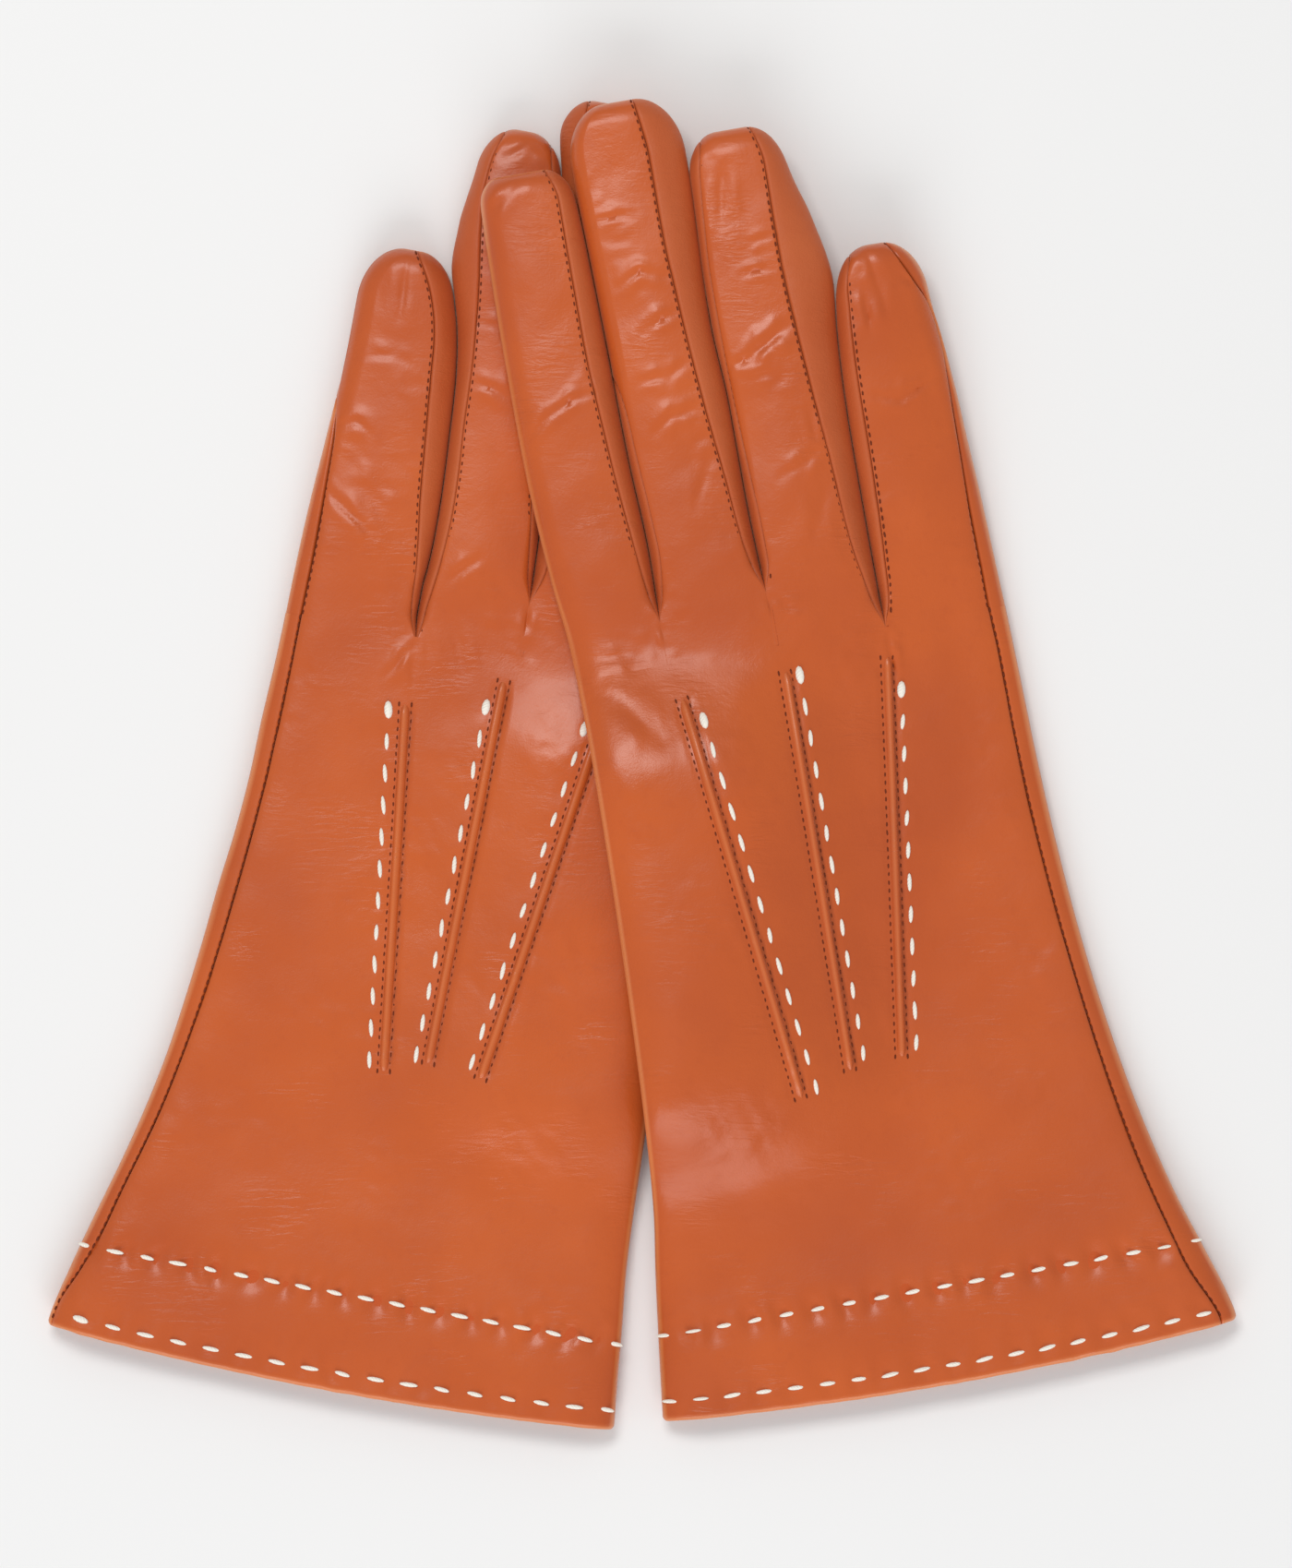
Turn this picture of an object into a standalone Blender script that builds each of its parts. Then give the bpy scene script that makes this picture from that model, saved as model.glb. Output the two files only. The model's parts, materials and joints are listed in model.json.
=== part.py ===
"""A pair of unlined leather dress gloves, lying flat with the right-hand one on top.

Both gloves are cut from one pattern. Each has a back leaf and a palm leaf with four finger
tongues, fourchettes between the fingers, a thumb folded under the palm, three raised points
with hand-sewn threads, and a turned-up hem with two rows of thread.

Pattern coordinates: across grows from the index finger to the little finger, along grows from
the cuff to the fingertips, and both are 0 at the middle of the hand just below the knuckles.
"""

import math

import bmesh
import bpy
import numpy as np
from mathutils import Vector
from mathutils.bvhtree import BVHTree

MM = 0.001

# Leather, seams and fits
LEATHER = 0.7 * MM
SEAM_GAP = 0.3 * MM  # between two pieces that are sewn together
FINGER_GAP = 0.8 * MM  # between neighbouring fingers
KNUCKLE_GAP = 0.5 * MM  # between a finger and the hand, where the finger bends
STACK_CLEARANCE = 0.8 * MM  # between one glove and what lies under it

# Hand
KNUCKLE_WIDTH = 90.8 * MM
HAND_HEIGHT = 7.0 * MM
HAND_ROUNDING = 9.0 * MM
CUFF_ALONG = -134.5 * MM
CUFF_BOW = 2.5 * MM
CUFF_HEIGHT = 8.8 * MM
CUFF_RISE_START = -80.0 * MM
INDEX_FLARE = 8.7 * MM
INDEX_FLARE_START = -45.0 * MM
INDEX_FLARE_POWER = 1.5
OUTER_FLARE = 21.6 * MM
OUTER_FLARE_START = 10.0 * MM
OUTER_FLARE_POWER = 2.1
WRAP_ANGLE = math.radians(45)  # how far the palm wraps up round the outer edge

# Crotches between the fingers, as (across, along)
INDEX_CROTCH = (-0.282 * KNUCKLE_WIDTH, 28.7 * MM)
MIDDLE_CROTCH = (-0.033 * KNUCKLE_WIDTH, 31.1 * MM)
RING_CROTCH = (0.2225 * KNUCKLE_WIDTH, 19.8 * MM)

# Fingers
FINGER_HEIGHT = HAND_HEIGHT
FINGER_ROUNDING = 4.0 * MM
TIP_ROUNDING = 9.0 * MM
TIP_HEIGHT = 2.6 * MM
TIP_SHARE = 0.42  # width of the very tip, as a share of the finger's
TIP_SQUARENESS = 2.4  # 2 is a round tip, and more is squarer
FOURCHETTE_ANGLE = math.radians(50)
FOURCHETTE_END = 7.0 * MM  # from the fingertip
BEND_CLEARANCE = 0.2 * MM  # between the leather and the line a finger bends about
INDEX_LENGTH = 96.5 * MM
MIDDLE_LENGTH = 105.2 * MM
RING_LENGTH = 95.3 * MM
LITTLE_LENGTH = 78.3 * MM

# Thumb, folded under the palm
THUMB_HEIGHT = 3.4 * MM
THUMB_WIDTH = 21.0 * MM
THUMB_TIP_WIDTH = 18.0 * MM
THUMB_EDGE_MARGIN = 2.5 * MM  # from the index side of the hand
THUMB_MOUTH = -50.0 * MM
THUMB_HEEL = -68.0 * MM
THUMB_LENGTH = 58.0 * MM
THUMB_TAPER = 16.0 * MM
THUMB_SHOULDER = 24.0 * MM  # the leather above comes down to the table over this length
THUMB_SLOPE = 30.0 * MM  # and over this width towards the little finger
THUMB_EASE = 4.0 * MM  # how much sooner that slope starts and ends at the thumb's tip
THUMB_LEAN = 1.5 * MM  # of its tip, towards the little finger

# Points on the back, as (across, along) at the knuckle end and at the cuff end
POINTS = {
    "index_point": ((-23.4 * MM, 12.4 * MM), (-13.8 * MM, -72.9 * MM)),
    "middle_point": ((-2.0 * MM, 13.8 * MM), (-3.1 * MM, -69.2 * MM)),
    "ring_point": ((19.4 * MM, 13.2 * MM), (8.0 * MM, -68.5 * MM)),
}
WELT_WIDTH = 2.6 * MM
WELT_HEIGHT = 0.9 * MM
THREAD_WIDTH = 0.9 * MM
THREAD_HEIGHT = 0.5 * MM
THREAD_OFFSET = 3.1 * MM  # from the middle of the welt
THREAD_START = 5.0 * MM  # below the knuckle end of the welt
POINT_STEPS = 20

# Hem
HEM_DEPTH = 20.0 * MM
UPPER_ROW = 18.0 * MM  # above the cuff's edge
LOWER_ROW = 4.5 * MM
HEM_ROW_MARGIN = 8.0 * MM  # from the sides of the cuff

# How the two gloves lie
RIGHT_PLACE = (KNUCKLE_WIDTH / 2 - 11.7 * MM, 6.0 * MM)
RIGHT_TURN = math.radians(10.1)
LEFT_PLACE = (11.9 * MM - KNUCKLE_WIDTH / 2, 4.3 * MM)
LEFT_TURN = math.radians(-10.55)
DRAPE_WIDTH = 55.0 * MM  # the right glove comes down to the table over this width
DRAPE_MARGIN = 3.0 * MM  # and it is clear of the glove beneath by this much at its edge
DRAPE_START = -112.0 * MM
DRAPE_FULL = -62.0 * MM
# How far each finger swings towards the little finger, in degrees, and how far its side bulges
LEFT_SPLAY = {"index": 4.5, "middle": 6.2, "ring": 4.6, "little": 2.0}
RIGHT_SPLAY = {"index": 0.0, "middle": 0.0, "ring": 0.0, "little": 0.0}
LEFT_BULGE = {"index": 0.0, "middle": 0.0, "ring": 0.0, "little": 0.0}
RIGHT_BULGE = {"index": 0.0, "middle": 0.0, "ring": 1.6 * MM, "little": 0.0}

HALF_HAND = KNUCKLE_WIDTH / 2
FINGERS = {
    # name: (across at its index side, across at its little side, along at its base, length,
    #        how far the tip leans towards the little finger, width at the tip)
    "index": (-HALF_HAND, INDEX_CROTCH[0], INDEX_CROTCH[1], INDEX_LENGTH, -1.9 * MM, 20.0 * MM),
    "middle": (INDEX_CROTCH[0], MIDDLE_CROTCH[0], MIDDLE_CROTCH[1], MIDDLE_LENGTH, -0.6 * MM, 21.0 * MM),
    "ring": (MIDDLE_CROTCH[0], RING_CROTCH[0], MIDDLE_CROTCH[1], RING_LENGTH, -0.5 * MM, 21.0 * MM),
    "little": (RING_CROTCH[0], HALF_HAND, RING_CROTCH[1], LITTLE_LENGTH, -1.0 * MM, 19.5 * MM),
}


# ---------------------------------------------------------------- small helpers


def smooth(low, high, value):
    """0 below low, 1 above high, and a smooth S between them."""
    share = min(max((value - low) / (high - low), 0.0), 1.0)
    return share * share * (3 - 2 * share)


def steps(low, high, count):
    return [low + (high - low) * i / count for i in range(count + 1)]


def clear_scene():
    for obj in list(bpy.data.objects):
        bpy.data.objects.remove(obj, do_unlink=True)


def make_material(name, colour, roughness):
    material = bpy.data.materials.new(name)
    material.use_nodes = True
    shader = material.node_tree.nodes["Principled BSDF"]
    shader.inputs["Base Color"].default_value = (*colour, 1.0)
    shader.inputs["Roughness"].default_value = roughness
    shader.inputs["Metallic"].default_value = 0.0
    material.diffuse_color = (*colour, 1.0)
    return material


# ---------------------------------------------------------------- how a glove lies


class Glove:
    """One glove of the pair: where its pattern lies on the table and how high."""

    def __init__(self, side, place, turn, mirror, splay, bulge, under=None):
        self.side = side
        self.place = place
        self.turn = turn
        self.mirror = mirror
        self.splay = {name: math.tan(math.radians(angle)) for name, angle in splay.items()}
        self.bulge = bulge
        self.under = under

    def to_world(self, across, along):
        x = self.mirror * across
        cos, sin = math.cos(self.turn), math.sin(self.turn)
        return (self.place[0] + cos * x - sin * along, self.place[1] + sin * x + cos * along)

    def to_pattern(self, x, y):
        dx, dy = x - self.place[0], y - self.place[1]
        cos, sin = math.cos(self.turn), math.sin(self.turn)
        return (self.mirror * (cos * dx + sin * dy), cos * dy - sin * dx)

    def bump(self, across, along):
        """How far the thumb underneath lifts the hand."""
        lift = THUMB_HEIGHT + STACK_CLEARANCE
        thumb_side = thumb_centre(1.0) + THUMB_WIDTH / 2
        tip = THUMB_MOUTH + THUMB_LENGTH
        sideways = 1 - smooth(thumb_side, thumb_side + THUMB_SLOPE, across)
        from_cuff = smooth(THUMB_HEEL - THUMB_SHOULDER, THUMB_HEEL, along)
        taper_start = tip - THUMB_TAPER + THUMB_EASE
        to_tip = 1 - smooth(taper_start, tip + THUMB_SHOULDER - THUMB_EASE, along)
        return lift * sideways * from_cuff * to_tip

    def rest_height(self, across, along):
        """Height of what this glove lies on: the table, or the glove beneath it."""
        if self.under is None:
            return 0.0
        under_across, under_along = self.under.to_pattern(*self.to_world(across, along))
        lift = max(HAND_HEIGHT, FINGER_HEIGHT) + STACK_CLEARANCE
        lift += self.under.bump(under_across, under_along)
        inside = under_across + HALF_HAND + DRAPE_MARGIN
        return lift * smooth(-DRAPE_WIDTH, 0, inside) * smooth(DRAPE_START, DRAPE_FULL, along)

    def base_height(self, across, along):
        return self.rest_height(across, along) + self.bump(across, along)

    def point(self, across, along, height, base):
        x, y = self.to_world(across, along)
        return Vector((x, y, base(across, along) + height))


# ---------------------------------------------------------------- outlines of the pattern


def index_side(along):
    share = max(0.0, (INDEX_FLARE_START - along) / (INDEX_FLARE_START - CUFF_ALONG))
    return -HALF_HAND - INDEX_FLARE * share**INDEX_FLARE_POWER


def outer_side(along):
    share = max(0.0, (OUTER_FLARE_START - along) / (OUTER_FLARE_START - CUFF_ALONG))
    return HALF_HAND + OUTER_FLARE * share**OUTER_FLARE_POWER


def hand_height(along):
    return CUFF_HEIGHT + (HAND_HEIGHT - CUFF_HEIGHT) * smooth(CUFF_ALONG, CUFF_RISE_START, along)


def thumb_centre(share):
    """Where the middle of the thumb lies, from 0 at its mouth to 1 at its tip."""
    return -HALF_HAND + THUMB_EDGE_MARGIN + THUMB_WIDTH / 2 + THUMB_LEAN * share


def cuff_bow(across, along):
    """The cuff's edge is bowed, so the lines near it bend away from the hand."""
    middle = (index_side(along) + outer_side(along)) / 2
    half = (outer_side(along) - index_side(along)) / 2
    fade = 1 - smooth(CUFF_ALONG, CUFF_ALONG + 2 * HEM_DEPTH, along)
    return -CUFF_BOW * (1 - ((across - middle) / half) ** 2) * fade


# ---------------------------------------------------------------- cross-sections


class Section:
    """A flat tube's cross-section: flat above and below, with rounded sides."""

    def __init__(self, low, high, height, rounding):
        self.centre = (low + high) / 2
        self.half_width = (high - low) / 2
        self.half_height = height / 2
        self.rounding = min(rounding, 0.9 * self.half_width)

    def at(self, key, inset):
        """(across, height) of a ring key, pulled in by inset."""
        kind, side, value = key
        flat = self.half_width - self.rounding
        if kind == "flat":
            return (self.centre + value * flat, self.half_height + side * (self.half_height - inset))
        across = side * (flat + (self.rounding - inset) * math.cos(value))
        return (self.centre + across, self.half_height + (self.half_height - inset) * math.sin(value))

    def angle_of_gap(self, angle):
        """Half a seam gap, as an angle round the rounded side."""
        pace = math.hypot(self.rounding * math.sin(angle), self.half_height * math.cos(angle))
        return SEAM_GAP / 2 / pace


def fold_side(section):
    """Back and palm meet half way up the side. Each entry is an angle and the owner below it."""
    gap = section.angle_of_gap(0)
    return [(math.pi / 4, "back"), (gap, "gap"), (-gap, "palm"), (-math.pi / 4, "palm")]


def wrap_side(section):
    """The palm wraps round the side and meets the back on top."""
    gap = section.angle_of_gap(WRAP_ANGLE)
    return [(WRAP_ANGLE + gap, "gap"), (WRAP_ANGLE - gap, "palm"), (0.0, "palm"), (-math.pi / 4, "palm")]


def fourchette_side(section, arm):
    """A fourchette closes the side between the back and the palm."""
    gap = section.angle_of_gap(FOURCHETTE_ANGLE)
    middle = section.angle_of_gap(0)
    high, low = FOURCHETTE_ANGLE + gap, FOURCHETTE_ANGLE - gap
    return [
        (high, "seam over " + arm),
        (low, "top of " + arm),
        (middle, "middle of " + arm),
        (-middle, "foot of " + arm),
        (-low, "seam under " + arm),
        (-high, "palm"),
    ]


def ring_of(index_edge, little_edge, flats):
    """Ring keys in order, and the owner of the cell after each key."""
    keys, owners = [], []
    for value in flats:
        keys.append(("flat", 1, value))
        owners.append("back")
    for angle, owner in little_edge:
        keys.append(("edge", 1, angle))
        owners.append(owner)
    for value in reversed(flats):
        keys.append(("flat", -1, value))
        owners.append("palm")
    # The index edge is listed from the top down, and the ring runs up it.
    for i in range(len(index_edge) - 1, -1, -1):
        keys.append(("edge", -1, index_edge[i][0]))
        owners.append(index_edge[i - 1][1] if i else "back")
    return keys, owners


# ---------------------------------------------------------------- shells


def thick_cells(outer, inner, cells, closed_ring):
    """One closed solid from the grid cells chosen, each a piece of wall from outer to inner."""
    columns = len(outer[0])
    chosen = set(cells)
    mesh = bmesh.new()
    made = {}

    def vertex(layer, row, column):
        key = (layer, row, column % columns)
        if key not in made:
            made[key] = mesh.verts.new((outer if layer == 0 else inner)[row][column % columns])
        return made[key]

    for row, column in sorted(chosen):
        corners = [(row, column), (row, column + 1), (row + 1, column + 1), (row + 1, column)]
        mesh.faces.new([vertex(0, r, c) for r, c in corners])
        mesh.faces.new([vertex(1, r, c) for r, c in reversed(corners)])
        left = (row, (column - 1) % columns if closed_ring else column - 1)
        right = (row, (column + 1) % columns if closed_ring else column + 1)
        neighbours = [(row - 1, column), right, (row + 1, column), left]
        for side, neighbour in enumerate(neighbours):
            if neighbour in chosen:
                continue
            (r0, c0), (r1, c1) = corners[side], corners[(side + 1) % 4]
            wall = [vertex(0, r1, c1), vertex(0, r0, c0), vertex(1, r0, c0), vertex(1, r1, c1)]
            mesh.faces.new(wall)
    return mesh


def add_node(name, mesh, material, pivot):
    """An object from a bmesh in world space, with its origin on its pivot."""
    if mesh.calc_volume(signed=True) < 0:
        bmesh.ops.reverse_faces(mesh, faces=mesh.faces[:])
    bmesh.ops.triangulate(mesh, faces=mesh.faces[:])
    mesh.verts.ensure_lookup_table()
    bmesh.ops.translate(mesh, verts=mesh.verts[:], vec=-pivot["at"])
    data = bpy.data.meshes.new(name)
    mesh.to_mesh(data)
    mesh.free()
    data.shade_smooth()
    data.set_sharp_from_angle(angle=math.radians(40))
    data.materials.append(material)
    obj = bpy.data.objects.new(name, data)
    bpy.context.scene.collection.objects.link(obj)
    obj.parent = pivot["empty"]
    return obj


def add_pivot(name, at, parent=None):
    empty = bpy.data.objects.new(name, None)
    bpy.context.scene.collection.objects.link(empty)
    empty.empty_display_size = 0.01
    if parent is not None:
        empty.parent = parent["empty"]
        empty.location = at - parent["at"]
    else:
        empty.location = at
    return {"empty": empty, "at": at}


def build_leaves(glove, prefix, grid, parts, material, pivot):
    """One node for each named set of cells of a grid."""
    outer, inner, owner_of = grid
    rows, columns = len(outer) - 1, len(outer[0])
    for part, name in parts.items():
        cells = [(r, c) for r in range(rows) for c in range(columns) if owner_of(r, c) == part]
        add_node(f"{glove.side}_{prefix}{name}", thick_cells(outer, inner, cells, True), material, pivot)


# ---------------------------------------------------------------- hand


def crotch_share(across):
    """Where a crotch lies across the flat of the hand, from -1 to 1."""
    return across / (HALF_HAND - HAND_ROUNDING)


def hand_flats():
    crotches = [crotch_share(c[0]) for c in (INDEX_CROTCH, MIDDLE_CROTCH, RING_CROTCH)]
    middles = [(crotches[0] + crotches[1]) / 2, (crotches[1] + crotches[2]) / 2]
    return [-1.0, crotches[0], middles[0], crotches[1], middles[1], crotches[2], 1.0]


def hand_rows():
    bends = sorted({c[1] - KNUCKLE_GAP / 2 for c in (INDEX_CROTCH, MIDDLE_CROTCH, RING_CROTCH)})
    cuff = steps(CUFF_ALONG + HEM_DEPTH, THUMB_HEEL, 3)
    return [CUFF_ALONG, *cuff, *steps(THUMB_MOUTH, bends[0], 6), *bends[1:]]


def hand_point(glove, key, along, inset, base):
    section = hand_section(along)
    across, height = section.at(key, inset)
    return glove.point(across, along + cuff_bow(across, along), height, base)


def hand_section(along):
    return Section(index_side(along), outer_side(along), hand_height(along), HAND_ROUNDING)


def build_hand(glove, leather, pivot):
    section = hand_section(0.0)
    flats = hand_flats()
    keys, owners = ring_of(fold_side(section), wrap_side(section), flats)
    rows = hand_rows()
    outer = [[hand_point(glove, k, along, 0.0, glove.base_height) for k in keys] for along in rows]
    inner = [[hand_point(glove, k, along, LEATHER, glove.base_height) for k in keys] for along in rows]

    def reach(column):
        """How far along the hand goes in this column: up to the finger that starts there."""
        first, second = keys[column], keys[(column + 1) % len(keys)]
        across = sum(section.at(k, 0.0)[0] for k in (first, second)) / 2
        for low, high, bend, *_ in FINGERS.values():
            if low <= across <= high:
                return bend - KNUCKLE_GAP / 2
        return rows[-1]

    def owner_of(row, column):
        if rows[row + 1] > reach(column) + 1e-9:
            return "nothing"
        first, second = keys[column], keys[(column + 1) % len(keys)]
        over_thumb = {first, second} == {("flat", -1, flats[0]), ("flat", -1, flats[1])}
        if over_thumb and rows[row] == THUMB_HEEL:
            return "thumb hole"
        return owners[column]

    parts = {"back": "back", "palm": "palm"}
    build_leaves(glove, "hand_", (outer, inner, owner_of), parts, leather, pivot)


def build_fourchette_root(glove, material, pivot):
    """The foot of the ring fourchette, below the bend of the ring finger."""
    low = RING_CROTCH[1] + KNUCKLE_GAP
    high = MIDDLE_CROTCH[1] - KNUCKLE_GAP / 2
    wall = RING_CROTCH[0] - FINGER_GAP / 2 - LEATHER
    rows = [low, high]
    edges = [LEATHER + SEAM_GAP, HAND_HEIGHT - LEATHER - SEAM_GAP]
    grids = []
    for across in (wall, wall - LEATHER):
        grid = [[glove.point(across, along, h, glove.base_height) for h in edges] for along in rows]
        grids.append(grid)
    mesh = thick_cells(grids[0], grids[1], [(0, 0)], False)
    add_node(f"{glove.side}_ring_fourchette_root", mesh, material, pivot)


def build_hem_facing(glove, leather, pivot):
    """The leather turned up inside the cuff."""
    section = hand_section(CUFF_ALONG)
    keys, owners = ring_of(fold_side(section), wrap_side(section), hand_flats())
    rows = [CUFF_ALONG, CUFF_ALONG + HEM_DEPTH]
    near, far = LEATHER + SEAM_GAP, 2 * LEATHER + SEAM_GAP
    outer = [[hand_point(glove, k, along, near, glove.base_height) for k in keys] for along in rows]
    inner = [[hand_point(glove, k, along, far, glove.base_height) for k in keys] for along in rows]
    parts = {"back": "back_hem_facing", "palm": "palm_hem_facing"}
    build_leaves(glove, "", (outer, inner, lambda row, column: owners[column]), parts, leather, pivot)


# ---------------------------------------------------------------- fingers


def tip_round(share_left):
    """Rounding of a fingertip, from 1 at its shoulder to 0 at the very tip."""
    gone = min(max(1 - share_left, 0.0), 1.0)
    return (1 - gone**TIP_SQUARENESS) ** (1 / TIP_SQUARENESS)


def tip_rows(tip):
    """Rows round a fingertip, closer together towards its end."""
    return [tip - TIP_ROUNDING * share for share in (0.4, 0.15, 0.0)]


def finger_rows(length):
    end = length - FOURCHETTE_END
    shaft = steps(length * 0.3, length - 1.6 * TIP_ROUNDING, 2)
    shoulder = length - 1.1 * TIP_ROUNDING
    return [KNUCKLE_GAP / 2, *shaft, shoulder, end, end + SEAM_GAP, *tip_rows(length)]


def finger_section(glove, name, distance):
    """Cross-section of a finger at a distance from its base, and the sideways shift there."""
    low, high, _, length, lean, tip_width = FINGERS[name]
    share = distance / length
    low_edge = low + (FINGER_GAP / 2 if name != "index" else 0.0)
    high_edge = high - (FINGER_GAP / 2 if name != "little" else 0.0)
    high_edge += glove.bulge[name] * math.sin(math.pi * min(share, 1.0))
    centre = (low_edge + high_edge) / 2 + lean * share + glove.splay[name] * distance
    half = ((high_edge - low_edge) * (1 - share) + (tip_width - FINGER_GAP) * share) / 2
    rounding = tip_round((length - distance) / TIP_ROUNDING)
    half *= TIP_SHARE + (1 - TIP_SHARE) * rounding
    height = TIP_HEIGHT + (FINGER_HEIGHT - TIP_HEIGHT) * rounding
    return Section(centre - half, centre + half, height, FINGER_ROUNDING)


def build_finger(glove, name, leather, gusset, pivot):
    _, _, bend, length, _, _ = FINGERS[name]
    base_section = finger_section(glove, name, KNUCKLE_GAP)
    arms = {}
    index_edge = fold_side(base_section)
    little_edge = wrap_side(base_section)
    if name != "index":
        index_edge = fourchette_side(base_section, "inner")
        arms["inner"] = f"{name}_inner_fourchette"
    if name != "little":
        little_edge = fourchette_side(base_section, "outer")
        arms["outer"] = f"{name}_outer_fourchette"
    keys, owners = ring_of(index_edge, little_edge, [-1.0, 1.0])
    rows = finger_rows(length)
    grids = []
    for inset in (0.0, LEATHER):
        grid = []
        for distance in rows:
            section = finger_section(glove, name, distance)
            along = bend + distance
            lift = FINGER_HEIGHT / 2 - section.half_height
            ring = []
            for key in keys:
                across, height = section.at(key, inset)
                ring.append(glove.point(across, along, height + lift, glove.base_height))
            grid.append(ring)
        grids.append(grid)
    arm_end = rows.index(length - FOURCHETTE_END)

    beyond_arm = {"seam over": "back", "top of": "back", "foot of": "palm", "seam under": "palm"}

    def owner_of(row, column):
        place, _, arm = owners[column].rpartition(" ")
        if arm not in arms:
            return owners[column]
        if row > arm_end:
            return beyond_arm.get(place, "gap")
        if row == arm_end or place.startswith("seam"):
            return "gap"
        return arm

    leaves = {"back": "back", "palm": "palm"}
    build_leaves(glove, name + "_", (*grids, owner_of), leaves, leather, pivot)
    for arm, arm_name in arms.items():
        build_leaves(glove, "", (*grids, owner_of), {arm: arm_name}, gusset, pivot)


def knuckle_pivot(glove, name, parent):
    """The line that a finger bends about: across its base, just above the leather."""
    low, high, bend, *_ = FINGERS[name]
    tops = [glove.base_height(across, bend) + HAND_HEIGHT for across in steps(low, high, 6)]
    x, y = glove.to_world((low + high) / 2, bend)
    height = max(tops) + BEND_CLEARANCE
    return add_pivot(f"{glove.side}_{name}_bend", Vector((x, y, height)), parent)


# ---------------------------------------------------------------- thumb


def build_thumb(glove, leather, pivot):
    """The thumb lies under the palm. Its upper leaf starts at the mouth, its lower one at the heel."""
    tip = THUMB_MOUTH + THUMB_LENGTH
    shaft = steps(THUMB_MOUTH, tip - THUMB_TAPER, 2)
    rows = [THUMB_HEEL, *shaft, tip - TIP_ROUNDING, *tip_rows(tip)]
    base_section = Section(-THUMB_WIDTH / 2, THUMB_WIDTH / 2, THUMB_HEIGHT, FINGER_ROUNDING)
    keys, owners = ring_of(fold_side(base_section), fold_side(base_section), [-1.0, 1.0])
    grids = []
    for inset in (0.0, LEATHER):
        grid = []
        for along in rows:
            share = max(0.0, (along - THUMB_MOUTH) / THUMB_LENGTH)
            rounding = tip_round((tip - along) / TIP_ROUNDING)
            taper = tip_round((tip - along) / THUMB_TAPER)
            half = (THUMB_WIDTH * (1 - share) + THUMB_TIP_WIDTH * share) / 2
            half *= TIP_SHARE + (1 - TIP_SHARE) * rounding
            centre = thumb_centre(share)
            height = TIP_HEIGHT + (THUMB_HEIGHT - TIP_HEIGHT) * taper
            section = Section(centre - half, centre + half, height, FINGER_ROUNDING)
            ring = []
            for key in keys:
                across, up = section.at(key, inset)
                ring.append(glove.point(across, along, up, glove.rest_height))
            grid.append(ring)
        grids.append(grid)

    def owner_of(row, column):
        if owners[column] == "back" and row == 0:
            return "mouth"
        return owners[column]

    parts = {"back": "thumb_upper", "palm": "thumb_lower"}
    build_leaves(glove, "", (*grids, owner_of), parts, leather, pivot)


# ---------------------------------------------------------------- points and threads


def surface_of(name):
    bpy.context.view_layer.update()
    obj = bpy.data.objects[name]
    corners = [obj.matrix_world @ v.co for v in obj.data.vertices]
    return BVHTree.FromPolygons(corners, [list(p.vertices) for p in obj.data.polygons])


def surface_height(surface, x, y):
    hit = surface.ray_cast(Vector((x, y, 1.0)), Vector((0, 0, -1)))
    return hit[0].z


def build_strip(glove, name, path, width, profile, surface, material, pivot):
    """A strip laid along a path on the leather. profile gives its height at its edge and middle."""
    lanes = [-1.0, 1.0] if len(profile) == 1 else [-1.0, 0.0, 1.0]
    tops = [profile[0]] * 2 if len(profile) == 1 else [profile[0], profile[1], profile[0]]
    upper, lower = [], []
    for i, (across, along) in enumerate(path):
        before, after = path[max(i - 1, 0)], path[min(i + 1, len(path) - 1)]
        direction = Vector((after[0] - before[0], after[1] - before[1])).normalized()
        sideways = Vector((direction.y, -direction.x))
        floor_points = []
        for lane in lanes:
            spot = (across + sideways.x * lane * width / 2, along + sideways.y * lane * width / 2)
            x, y = glove.to_world(*spot)
            floor_points.append(Vector((x, y, surface_height(surface, x, y) + SEAM_GAP)))
        lower.append(floor_points)
        upper.append([p + Vector((0, 0, top)) for p, top in zip(floor_points, tops)])
    cells = [(r, c) for r in range(len(path) - 1) for c in range(len(lanes) - 1)]
    add_node(f"{glove.side}_{name}", thick_cells(upper, lower, cells, False), material, pivot)


def build_thread(glove, name, path, surface, material, pivot):
    build_strip(glove, name, path, THREAD_WIDTH, (THREAD_HEIGHT,), surface, material, pivot)


def build_points(glove, leather, thread, pivot):
    surface = surface_of(f"{glove.side}_hand_back")
    welt = (WELT_HEIGHT / 2, WELT_HEIGHT)
    for name, (start, end) in POINTS.items():
        run = Vector(end) - Vector(start)
        path = [Vector(start) + run * share for share in steps(0, 1, POINT_STEPS)]
        build_strip(glove, name + "_welt", path, WELT_WIDTH, welt, surface, leather, pivot)
        shares = steps(THREAD_START / run.length, 1, POINT_STEPS)
        beside = [Vector(start) + run * share + Vector((THREAD_OFFSET, 0)) for share in shares]
        build_thread(glove, name + "_thread", beside, surface, thread, pivot)


def build_hem_rows(glove, thread, pivot):
    surface = surface_of(f"{glove.side}_hand_back")
    for name, above in (("upper_hem_thread", UPPER_ROW), ("lower_hem_thread", LOWER_ROW)):
        along = CUFF_ALONG + above
        path = []
        for across in steps(index_side(along) + HEM_ROW_MARGIN, outer_side(along) - HEM_ROW_MARGIN, 12):
            path.append((across, along + cuff_bow(across, along)))
        build_thread(glove, name, path, surface, thread, pivot)


# ---------------------------------------------------------------- the pair


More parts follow.
